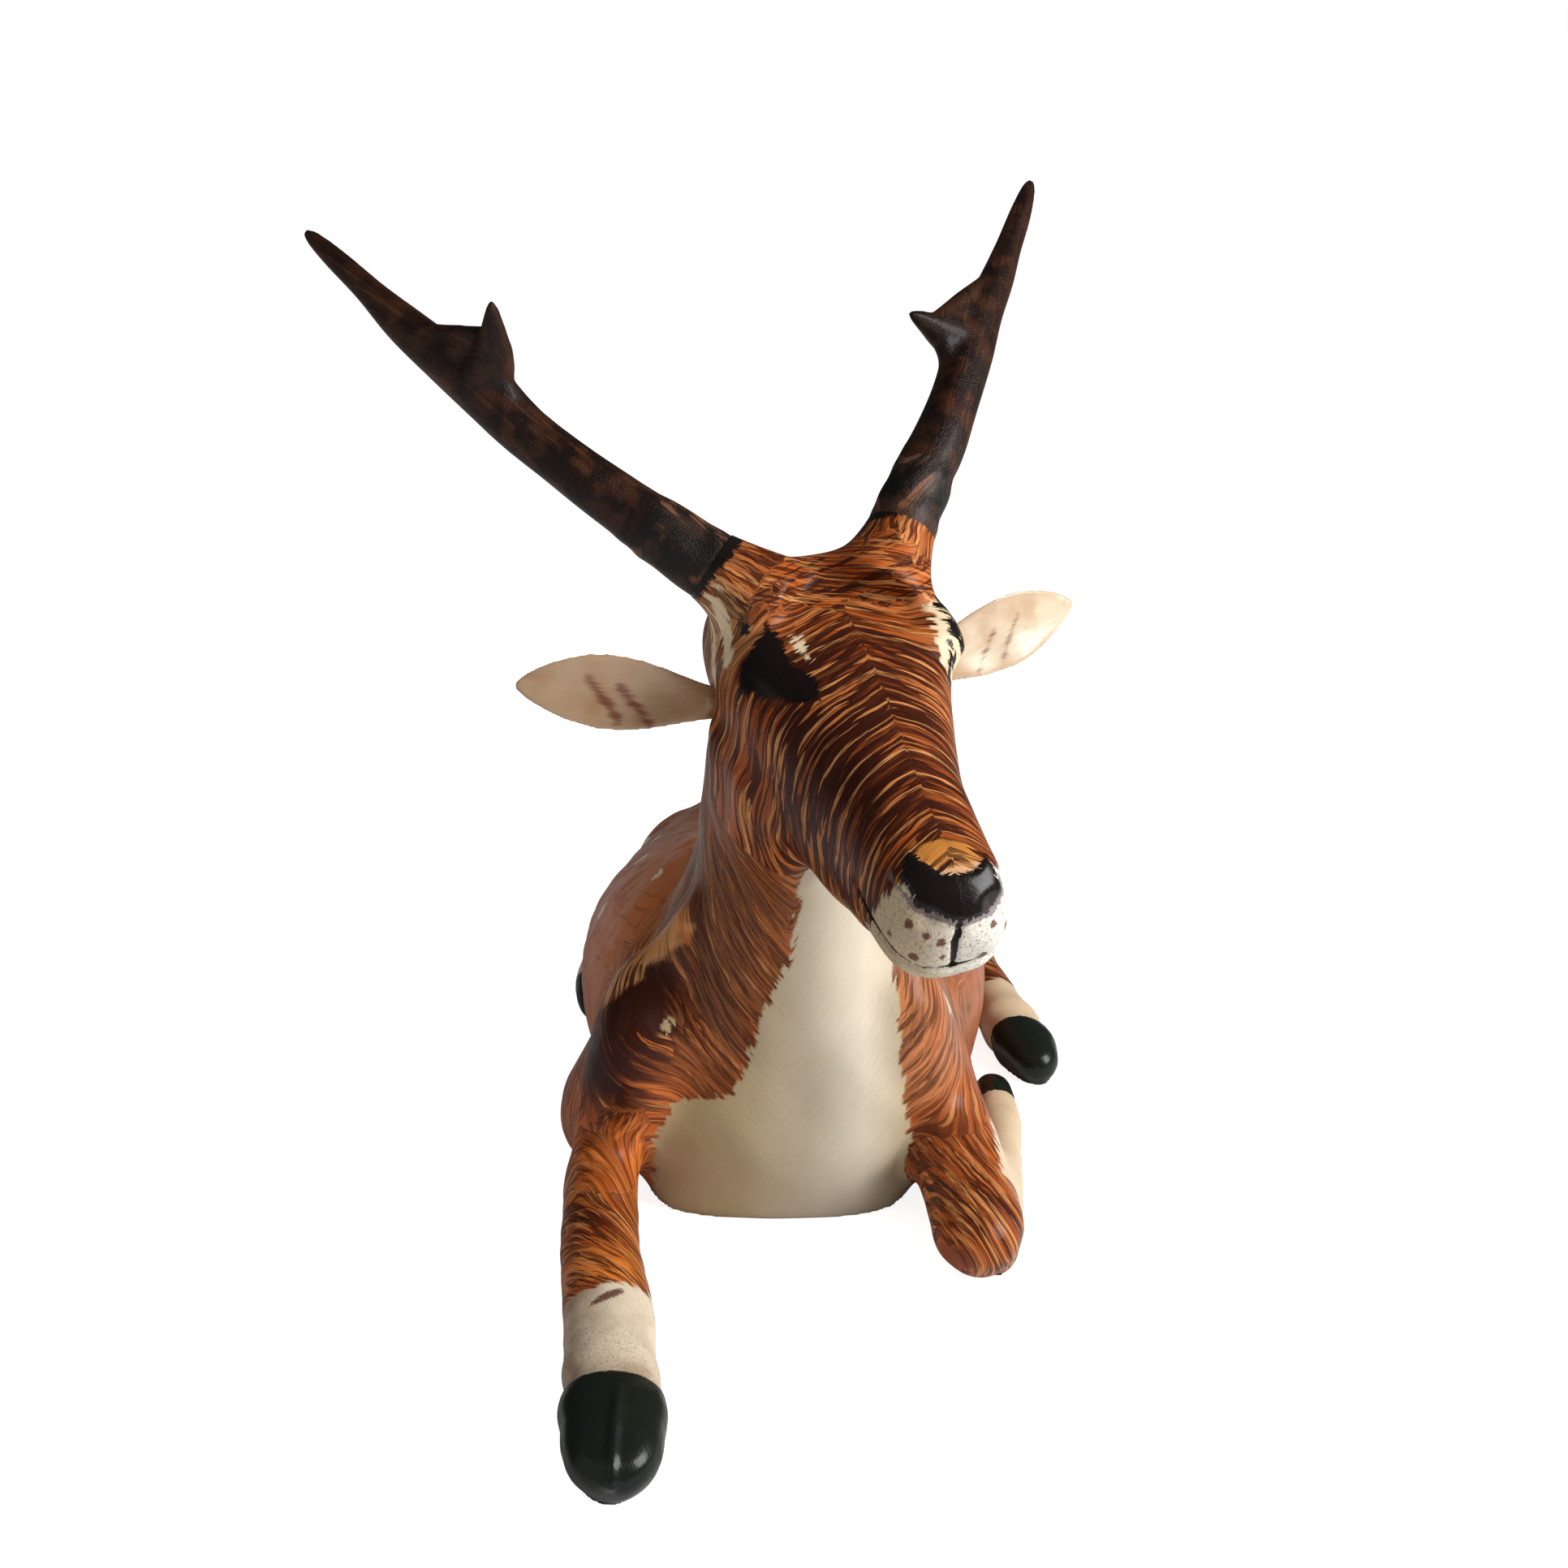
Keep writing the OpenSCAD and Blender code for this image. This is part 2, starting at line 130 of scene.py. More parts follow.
def stroke(
    points: np.ndarray, start: tuple, end: tuple, facing: np.ndarray | None = None
) -> np.ndarray:
    """The distance from a straight line between two places.

    Args:
        points: places, one per row.
        start: one end of the line.
        end: the other end; it may be the same place.
        facing: the skin's normals; with them, the line is first dropped onto the skin.

    Returns:
        One distance per point.
    """
    a, b = np.array(start, float), np.array(end, float)
    length = max(float((b - a) @ (b - a)), 1e-9)
    along = np.clip((points - a) @ (b - a) / length, 0, 1)
    away = points - a - along[:, None] * (b - a)
    if facing is not None:
        lift = (away * facing).sum(1)
        away = away - (lift * smooth(9, 4, np.abs(lift)))[:, None] * facing
    return np.linalg.norm(away, axis=1)


def outline(flat: np.ndarray, corners: list[tuple[float, float]]) -> np.ndarray:
    """How far inside a flat outline each point lies.

    Args:
        flat: two coordinates per row.
        corners: the outline's corners, in order.

    Returns:
        A distance per point, above 0 inside.
    """
    distance = np.full(len(flat), 1e9)
    inside = np.zeros(len(flat), bool)
    for (ax, ay), (bx, by) in zip(corners, corners[1:] + corners[:1]):
        a, d = np.array([ax, ay]), np.array([bx - ax, by - ay])
        t = np.clip((flat - a) @ d / (d @ d), 0, 1)
        distance = np.minimum(distance, np.linalg.norm(flat - a - t[:, None] * d, axis=1))
        crosses = (flat[:, 1] < ay) != (flat[:, 1] < by)
        if by != ay:
            inside ^= crosses & (flat[:, 0] < ax + (flat[:, 1] - ay) / (by - ay) * (bx - ax))
    return np.where(inside, distance, -distance)


def lumps(points: np.ndarray, wavelength: float, seed: int) -> np.ndarray:
    """Slow hills and hollows, for hand work.

    Args:
        points: places, one per row.
        wavelength: the distance from hill to hill.
        seed: picks the pattern.

    Returns:
        A height per point, mostly between -1 and 1.
    """
    rng = np.random.RandomState(seed)
    total = np.zeros(len(points))
    for _ in range(WAVES):
        way = rng.normal(size=3)
        way *= 2 * math.pi / (wavelength * rng.uniform(0.7, 1.5) * np.linalg.norm(way))
        total += np.sin(points @ way + rng.uniform(0, 2 * math.pi))
    return total / math.sqrt(WAVES / 2) / 1.6


def rgb(red: int, green: int, blue: int) -> np.ndarray:
    """A paint's colour as light, from its usual 0 to 255 values by the sRGB curve."""
    c = np.array([red, green, blue]) / 255
    return np.where(c <= 0.04045, c / 12.92, ((c + 0.055) / 1.055) ** 2.4)


# ---- Small tools for meshes ---------------------------------------------------------


def points_of(mesh: bpy.types.Mesh) -> np.ndarray:
    """The mesh's vertices, in millimetres."""
    flat = np.empty(len(mesh.vertices) * 3)
    mesh.vertices.foreach_get("co", flat)
    return flat.reshape(-1, 3) / MM


def put_points(mesh: bpy.types.Mesh, points: np.ndarray) -> None:
    """Moves the mesh's vertices to these places, in millimetres."""
    mesh.vertices.foreach_set("co", (points * MM).ravel())
    mesh.update()


def normals_of(mesh: bpy.types.Mesh) -> np.ndarray:
    """The mesh's vertex normals."""
    flat = np.empty(len(mesh.vertices) * 3)
    mesh.vertex_normals.foreach_get("vector", flat)
    return flat.reshape(-1, 3)


def edges_of(mesh: bpy.types.Mesh) -> np.ndarray:
    """The mesh's edges, as pairs of vertex numbers."""
    flat = np.empty(len(mesh.edges) * 2, int)
    mesh.edges.foreach_get("vertices", flat)
    return flat.reshape(-1, 2)


def new_object(name: str, mesh: bpy.types.Mesh) -> bpy.types.Object:
    """Puts a mesh into the scene under a name."""
    mesh.name = name
    obj = bpy.data.objects.new(name, mesh)
    bpy.context.scene.collection.objects.link(obj)
    return obj


def plain_mesh(points: np.ndarray, faces: list) -> bpy.types.Mesh:
    """A mesh from points and faces, with its normals turned outwards.

    Args:
        points: places in millimetres, one per row.
        faces: the numbers of each face's points.

    Returns:
        The mesh.
    """
    mesh = bpy.data.meshes.new("plain")
    mesh.from_pydata((np.asarray(points) * MM).tolist(), [], faces)
    bm = bmesh.new()
    bm.from_mesh(mesh)
    bmesh.ops.recalc_face_normals(bm, faces=bm.faces)
    bm.to_mesh(mesh)
    bm.free()
    return mesh


def finished(obj: bpy.types.Object) -> bpy.types.Mesh:
    """Applies an object's modifiers and takes it out of the scene.

    Args:
        obj: the object, which is gone afterwards.

    Returns:
        Its finished mesh.
    """
    graph = bpy.context.evaluated_depsgraph_get()
    mesh = bpy.data.meshes.new_from_object(obj.evaluated_get(graph))
    bpy.data.objects.remove(obj)
    return mesh


def joined_nodes(names: list[str]) -> bpy.types.Mesh:
    """Puts solids of the frame together.

    Args:
        names: the nodes they belong to.

    Returns:
        One mesh of triangles.
    """
    points, faces, count = [], [], 0
    for name in names:
        mesh = frame["nodes"][name].data
        mesh.calc_loop_triangles()
        corners = np.empty(len(mesh.loop_triangles) * 3, int)
        mesh.loop_triangles.foreach_get("vertices", corners)
        points.append(points_of(mesh))
        faces.append(corners.reshape(-1, 3) + count)
        count += len(mesh.vertices)
    result = bpy.data.meshes.new("joined")
    result.from_pydata((np.concatenate(points) * MM).tolist(), [], np.concatenate(faces).tolist())
    return result


def one_skin(mesh: bpy.types.Mesh, pitch: float) -> bpy.types.Mesh:
    """Closes everything in a mesh into one even skin.

    Args:
        mesh: solids that may overlap or touch.
        pitch: the spacing of the new skin's points.

    Returns:
        A closed mesh of quads.
    """
    obj = new_object("skin", mesh)
    remesh = obj.modifiers.new("skin", "REMESH")
    remesh.mode = "VOXEL"
    remesh.voxel_size = pitch * MM
    return finished(obj)


def soften(mesh: bpy.types.Mesh, rounds: np.ndarray, floor: bool = False) -> None:
    """Smooths a mesh, more in some places than in others.

    Args:
        mesh: the mesh that is smoothed in place.
        rounds: how many passes each vertex takes part in.
        floor: keeps what lies on the ground on the ground.
    """
    points, edges = points_of(mesh), edges_of(mesh)
    count = len(points)
    a, b = edges[:, 0], edges[:, 1]
    degree = np.bincount(edges.ravel(), minlength=count)
    grounded = points[:, 2] < GROUND
    for step in range(int(rounds.max())):
        weight = 0.5 * np.clip(rounds - step, 0, 1)
        for axis in range(3):
            c = points[:, axis]
            total = np.bincount(a, c[b], count) + np.bincount(b, c[a], count)
            moved = c + weight * (total / degree - c)
            if floor and axis == 2:
                moved = np.where(grounded, 0.0, np.maximum(moved, 0.0))
            points[:, axis] = moved
    put_points(mesh, points)


def refine(mesh: bpy.types.Mesh, wanted: np.ndarray) -> bpy.types.Mesh:
    """Halves the spacing of a mesh where it is wanted.

    Args:
        mesh: the mesh to start from.
        wanted: one truth value per vertex.

    Returns:
        The finer mesh.
    """
    bm = bmesh.new()
    bm.from_mesh(mesh)
    bm.verts.ensure_lookup_table()
    edges = [e for e in bm.edges if wanted[e.verts[0].index] and wanted[e.verts[1].index]]
    bmesh.ops.subdivide_edges(bm, edges=edges, cuts=1, use_grid_fill=True)
    result = bpy.data.meshes.new("finer")
    bm.to_mesh(result)
    bm.free()
    return result


def largest_part(mesh: bpy.types.Mesh) -> bpy.types.Mesh:
    """Keeps the biggest connected part of a mesh.

    Args:
        mesh: the mesh that loses its other parts.

    Returns:
        The same mesh.
    """
    edges, count = edges_of(mesh), len(mesh.vertices)
    label = np.arange(count)
    while True:
        lower = label.copy()
        np.minimum.at(lower, edges[:, 0], label[edges[:, 1]])
        np.minimum.at(lower, edges[:, 1], label[edges[:, 0]])
        lower = lower[lower]
        if (lower == label).all():
            break
        label = lower
    sizes = np.bincount(label, minlength=count)
    if (sizes > 0).sum() > 1:
        bm = bmesh.new()
        bm.from_mesh(mesh)
        keep = sizes.argmax()
        bmesh.ops.delete(bm, geom=[v for v in bm.verts if label[v.index] != keep])
        bm.to_mesh(mesh)
        bm.free()
    return mesh


def carve(mesh: bpy.types.Mesh, tool: bpy.types.Mesh, cut: Cut) -> bpy.types.Mesh:
    """Cuts a closed mesh with another.

    Args:
        mesh: what is cut.
        tool: what it is cut with.
        cut: the part that is kept.

    Returns:
        A new closed mesh.
    """
    work, knife = new_object("work", mesh.copy()), new_object("knife", tool)
    modifier = work.modifiers.new("cut", "BOOLEAN")
    modifier.operation = cut.value
    modifier.solver = "MANIFOLD"
    modifier.object = knife
    result = finished(work)
    if not len(result.vertices):
        log.warning("the cut with %s left nothing", tool.name)
    bpy.data.objects.remove(knife)
    return result


def swollen(mesh: bpy.types.Mesh, by: float) -> bpy.types.Mesh:
    """A copy of a mesh with its skin moved out by so many millimetres."""
    copy = mesh.copy()
    put_points(copy, points_of(copy) + by * normals_of(copy))
    return copy


def welded(name: str, by: float) -> bpy.types.Mesh:
    """A node's solid as one closed mesh with a little clearance.

    Args:
        name: the node.
        by: how far its skin is moved out.

    Returns:
        A new mesh.
    """
    mesh = frame["nodes"][name].data.copy()
    bm = bmesh.new()
    bm.from_mesh(mesh)
    bmesh.ops.remove_doubles(bm, verts=bm.verts, dist=0.001 * MM)
    bm.to_mesh(mesh)
    bm.free()
    return swollen(mesh, by)


def half_space(at: tuple, way: tuple) -> bpy.types.Mesh:
    """A block that fills everything past a plane.

    Args:
        at: a place on the plane.
        way: the direction that the block lies in.

    Returns:
        A closed mesh.
    """
    turn = Vector((0, 0, 1)).rotation_difference(Vector(way)).to_matrix()
    ends = (-BEYOND, BEYOND)
    corners = [(x, y, z) for z in (0, BEYOND) for x in ends for y in ends]
    points = [tuple(turn @ Vector(c) + Vector(at)) for c in corners]
    faces = [(0, 2, 3, 1), (4, 5, 7, 6), (0, 1, 5, 4), (2, 6, 7, 3), (0, 4, 6, 2), (1, 3, 7, 5)]
    return plain_mesh(np.array(points), faces)


def give(mesh: bpy.types.Mesh, name: str, values: np.ndarray) -> None:
    """Stores one value, or three, at each vertex.

    Args:
        mesh: the mesh.
        name: what the paint reads them by.
        values: one row per vertex.
    """
    three = values.ndim == 2
    kind = "FLOAT_VECTOR" if three else "FLOAT"
    layer = mesh.attributes.new(name, kind, "POINT")
    layer.data.foreach_set("vector" if three else "value", values.astype(np.float32).ravel())


def coat_with(
    mesh: bpy.types.Mesh, coat: bpy.types.Material, sharp_angle: float = 40.0
) -> None:
    """Gives a mesh one paint and smooth shading.

    Args:
        mesh: the mesh.
        coat: its only material.
        sharp_angle: cuts steeper than this, in degrees, stay sharp.
    """
    mesh.materials.clear()
    mesh.materials.append(coat)
    mesh.polygons.foreach_set("use_smooth", [True] * len(mesh.polygons))
    mesh.set_sharp_from_angle(angle=math.radians(sharp_angle))


# ---- Places on the animal -----------------------------------------------------------


@dataclass(frozen=True)
class HeadPlace:
    """The head's own frame: x to its left, forward to the nose, and up from the face."""

    at: tuple[float, float, float] = (4.0, -89.0, 119.0)
    yaw: float = 18.0
    nod: float = 28.0
    tilt: float = 6.0

    def turn(self) -> np.ndarray:
        """The rotation from the head's frame to the row's."""
        yaw, nod, tilt = (math.radians(a) for a in (self.yaw, self.nod, -self.tilt))
        turn = Matrix.Rotation(yaw, 3, "Z") @ Matrix.Rotation(nod, 3, "X")
        return np.array(turn @ Matrix.Rotation(tilt, 3, "Y"))

    def local(self, points: np.ndarray) -> np.ndarray:
        """Places in the row's frame as (x, forward, z) in the head's."""
        found = (points - np.array(self.at)) @ self.turn()
        return found * np.array([1, -1, 1])


@dataclass(frozen=True)
class Plane:
    """A flat glue joint."""

    at: tuple[float, float, float]
    way: tuple[float, float, float]

    def past(self, points: np.ndarray) -> np.ndarray:
        """How far past the joint each point lies."""
        way = np.array(self.way) / np.linalg.norm(self.way)
        return (points - np.array(self.at)) @ way


HEAD = HeadPlace()
NECK_SEAT = Plane((0, -64, 56), (0, -0.4, 0.92))
HEAD_SEAT = Plane((6, -83, 92), (0.03, -0.75, 0.66))
LEGS = ("foreleg_right", "foreleg_left", "hind_leg_right", "hind_leg_left")


def in_box(points: np.ndarray, name: str, margin: float) -> np.ndarray:
    """Which points lie in a node's box.

    Args:
        points: places, one per row.
        name: the node.
        margin: how far outside the box the weight falls to 0.

    Returns:
        One weight per point, 1 inside.
    """
    low, high = (np.array(c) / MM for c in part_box(name))
    outside = np.maximum(np.maximum(low - points, points - high), 0)
    return smooth(margin, 0, np.linalg.norm(outside, axis=1))


# ---- Shader tools -------------------------------------------------------------------


class Board:
    """A node tree that is written in short lines."""

    def __init__(self, tree: bpy.types.NodeTree) -> None:
        """Takes the tree that nodes are added to."""
        self.tree = tree

    def node(self, kind: str, **settings: object) -> bpy.types.Node:
        """Adds a node of a kind, with its settings."""
        made = self.tree.nodes.new(kind)
        for key, value in settings.items():
            setattr(made, key, value)
        return made

    def feed(self, socket: bpy.types.NodeSocket, value: object) -> None:
        """Links a socket, or sets its value."""
        if isinstance(value, bpy.types.NodeSocket):
            self.tree.links.new(value, socket)
        elif isinstance(value, (tuple, list, np.ndarray)):
            wide = len(socket.default_value)
            socket.default_value = (*map(float, value), 1.0)[:wide]
        else:
            socket.default_value = value

    def math(self, word: str, *values: object, clamp: bool = False) -> bpy.types.NodeSocket:
        """One sum, such as ADD, on sockets or numbers."""
        made = self.node("ShaderNodeMath", operation=word, use_clamp=clamp)
        for socket, value in zip(made.inputs, values):
            self.feed(socket, value)
        return made.outputs[0]

    def vector(self, word: str, *values: object) -> bpy.types.NodeSocket:
        """One sum on vectors."""
        made = self.node("ShaderNodeVectorMath", operation=word)
        for socket, value in zip(made.inputs, values):
            self.feed(socket, value)
        return made.outputs[0]

    def step(self, value: object, low: float, high: float) -> bpy.types.NodeSocket:
        """A soft step from low to high."""
        made = self.node("ShaderNodeMapRange", interpolation_type="SMOOTHSTEP")
        for name, v in (("Value", value), ("From Min", low), ("From Max", high)):
            self.feed(made.inputs[name], v)
        return made.outputs[0]

    def mix(self, share: object, one: object, other: object) -> bpy.types.NodeSocket:
        """One colour blended into another."""
        made = self.node("ShaderNodeMix", data_type="RGBA")
        for index, value in zip(MIX_INPUTS, (share, one, other)):
            self.feed(made.inputs[index], value)
        return made.outputs[MIX_RESULT]

    def attribute(self, name: str) -> bpy.types.Node:
        """Reads what give() stored."""
        return self.node("ShaderNodeAttribute", attribute_name=name)

    def parts(self, vector: object) -> list[bpy.types.NodeSocket]:
        """The three parts of a vector."""
        made = self.node("ShaderNodeSeparateXYZ")
        self.feed(made.inputs[0], vector)
        return list(made.outputs)

    def join(self, x: object, y: object, z: object) -> bpy.types.NodeSocket:
        """A vector from three parts."""
        made = self.node("ShaderNodeCombineXYZ")
        for socket, value in zip(made.inputs, (x, y, z)):
            self.feed(socket, value)
        return made.outputs[0]

    def noise(self, place: object, scale: float, detail: float = 2.0) -> bpy.types.NodeSocket:
        """Soft noise around 0.5."""
        made = self.node("ShaderNodeTexNoise")
        for name, v in (("Vector", place), ("Scale", scale), ("Detail", detail)):
            self.feed(made.inputs[name], v)
        return made.outputs[0]

    def cells(self, place: object, scale: float) -> bpy.types.Node:
        """Cells with a random colour each."""
        made = self.node("ShaderNodeTexVoronoi")
        self.feed(made.inputs["Vector"], place)
        self.feed(made.inputs["Scale"], scale)
        return made

    def bump(
        self, shader: bpy.types.Node, height: object, depth: float, strength: float = 1.0
    ) -> None:
        """Raises a shader's surface.

        Args:
            shader: the shader.
            height: where it is high.
            depth: from low to high, in millimetres.
            strength: the share of it that shows.
        """
        made = self.node("ShaderNodeBump")
        made.inputs["Distance"].default_value = depth * MM
        made.inputs["Strength"].default_value = strength
        self.feed(made.inputs["Height"], height)
        self.feed(shader.inputs["Normal"], made.outputs["Normal"])

    def group(self, group: bpy.types.NodeTree, **values: object) -> bpy.types.Node:
        """Places a group with its own values; an underscore in a name stands for a space."""
        made = self.node("ShaderNodeGroup", node_tree=group)
        for key, value in values.items():
            self.feed(made.inputs[key.replace("_", " ")], value)
        return made


def new_group(name: str, inputs: dict[str, str], outputs: dict[str, str]) -> tuple:
    """Starts a node group.

    Args:
        name: the group's name.
        inputs: each input's name and socket kind.
        outputs: the same for the outputs.

    Returns:
        The group, its board, its input node and its output node.
    """
    group = bpy.data.node_groups.new(name, "ShaderNodeTree")
    for way, sockets in (("INPUT", inputs), ("OUTPUT", outputs)):
        for label, kind in sockets.items():
            group.interface.new_socket(label, in_out=way, socket_type=f"NodeSocket{kind}")
    board = Board(group)
    return group, board, board.node("NodeGroupInput"), board.node("NodeGroupOutput")


def brush_strokes_group() -> bpy.types.NodeTree:
    """Long brush strokes laid along a flow: a random tone and hue for each, and bristles."""
    group, b, given, out = new_group(
        "brush strokes",
        {"Flow": "Vector", "Width": "Float", "Length": "Float", "Seed": "Float"},
        {"Tone": "Float", "Hue": "Float", "Bristle": "Float"},
    )
    across, along, _ = b.parts(given.outputs["Flow"])
    sway = b.noise(given.outputs["Flow"], 0.11, 2.0)
    across = b.math("ADD", across, b.math("MULTIPLY", b.math("SUBTRACT", sway, 0.5), 2.2))
    wide = b.math("DIVIDE", across, given.outputs["Width"])
    long = b.math("DIVIDE", along, given.outputs["Length"])
    cells = b.cells(b.join(wide, long, given.outputs["Seed"]), 1.0)
    tone, hue, _ = b.parts(cells.outputs["Color"])
    bristle = b.noise(
        b.join(b.math("MULTIPLY", wide, 3.2), b.math("MULTIPLY", long, 2.4), given.outputs["Seed"]),
        1.0,
        4.0,
    )
    for label, value in (("Tone", tone), ("Hue", hue), ("Bristle", bristle)):
        b.feed(out.inputs[label], value)
    return group


def paint_edge_group() -> bpy.types.NodeTree:
    """Where one paint stops on another: a distance, made ragged by the brush."""
    group, b, given, out = new_group(
        "paint edge",
        {"Distance": "Float", "Rag": "Float", "Reach": "Float", "Softness": "Float"},
        {"Mask": "Float"},
    )
    rag = b.math("SUBTRACT", given.outputs["Rag"], 0.5)
    edge = b.math("MULTIPLY_ADD", rag, given.outputs["Reach"], given.outputs["Distance"])
    share = b.math("DIVIDE", edge, given.outputs["Softness"])
    b.feed(out.inputs["Mask"], b.step(share, -0.5, 0.5))
    return group


def fine_line_group() -> bpy.types.NodeTree:
    """A thin painted line along the zero of a signed distance."""
    group, b, given, out = new_group(
        "fine line",
        {"Distance": "Float", "Width": "Float", "Rag": "Float"},
        {"Mask": "Float"},
    )
    off = b.math("ABSOLUTE", given.outputs["Distance"])
    width = b.math("MULTIPLY", given.outputs["Width"], b.math("ADD", given.outputs["Rag"], 0.5))
    share = b.math("DIVIDE", off, width)
    b.feed(out.inputs["Mask"], b.step(share, 0.62, 0.38))
    return group


def age_group() -> bpy.types.NodeTree:
    """Speckle, hairline crackle and grime of old varnish, from a place in millimetres."""
    group, b, given, out = new_group(
        "age", {"Place": "Vector"}, {"Speckle": "Float", "Grime": "Float", "Relief": "Float"}
    )
    place = given.outputs["Place"]
    fine, coarse = b.noise(place, 2.6, 3.0), b.noise(place, 0.16, 3.0)
    cells = b.node("ShaderNodeTexVoronoi", feature="DISTANCE_TO_EDGE")
    b.feed(cells.inputs["Vector"], place)
    b.feed(cells.inputs["Scale"], 0.75)
    crack = b.step(cells.outputs["Distance"], 0.05, 0.0)
    speck = b.math("MAXIMUM", b.step(fine, 0.56, 0.68), b.math("MULTIPLY", crack, 0.55))
    b.feed(out.inputs["Speckle"], speck)
    b.feed(out.inputs["Grime"], b.step(coarse, 0.4, 0.72))
    b.feed(out.inputs["Relief"], fine)
    return group


def wood_grain_group() -> bpy.types.NodeTree:
    """Fine straight grain, from a place in millimetres."""
    group, b, given, out = new_group("wood grain", {"Place": "Vector"}, {"Grain": "Float"})
    x, y, z = b.parts(given.outputs["Place"])
    ring = b.node("ShaderNodeTexWave", wave_type="RINGS", rings_direction="Y")
    b.feed(ring.inputs["Vector"], b.join(x, b.math("MULTIPLY", y, 0.12), z))
    for label, value in (("Scale", 0.5), ("Distortion", 5.0), ("Detail", 3.0)):
        b.feed(ring.inputs[label], value)
    b.feed(out.inputs["Grain"], ring.outputs["Fac"])
    return group


@dataclass(frozen=True)
class Effects:
    """The node groups that the finishes share."""

    strokes: bpy.types.NodeTree = field(default_factory=brush_strokes_group)
    edge: bpy.types.NodeTree = field(default_factory=paint_edge_group)
    line: bpy.types.NodeTree = field(default_factory=fine_line_group)
    age: bpy.types.NodeTree = field(default_factory=age_group)
    grain: bpy.types.NodeTree = field(default_factory=wood_grain_group)


def new_material(name: str) -> tuple[bpy.types.Material, Board, bpy.types.Node]:
    """An empty node material, its board and its main shader."""
    material = bpy.data.materials.new(name)
    material.use_nodes = True
    material.node_tree.nodes.clear()
    board = Board(material.node_tree)
    shader = board.node("ShaderNodeBsdfPrincipled")
    output = board.node("ShaderNodeOutputMaterial")
    board.feed(output.inputs["Surface"], shader.outputs[0])
    return material, board, shader


def place_mm(board: Board) -> bpy.types.NodeSocket:
    """The surface's place in the row's frame, in millimetres."""
    coordinates = board.node("ShaderNodeTexCoord")
    scale = board.node("ShaderNodeVectorMath", operation="SCALE")
    board.feed(scale.inputs[0], coordinates.outputs["Object"])
    scale.inputs["Scale"].default_value = 1 / MM
    return scale.outputs[0]


# ---- Finishes -----------------------------------------------------------------------


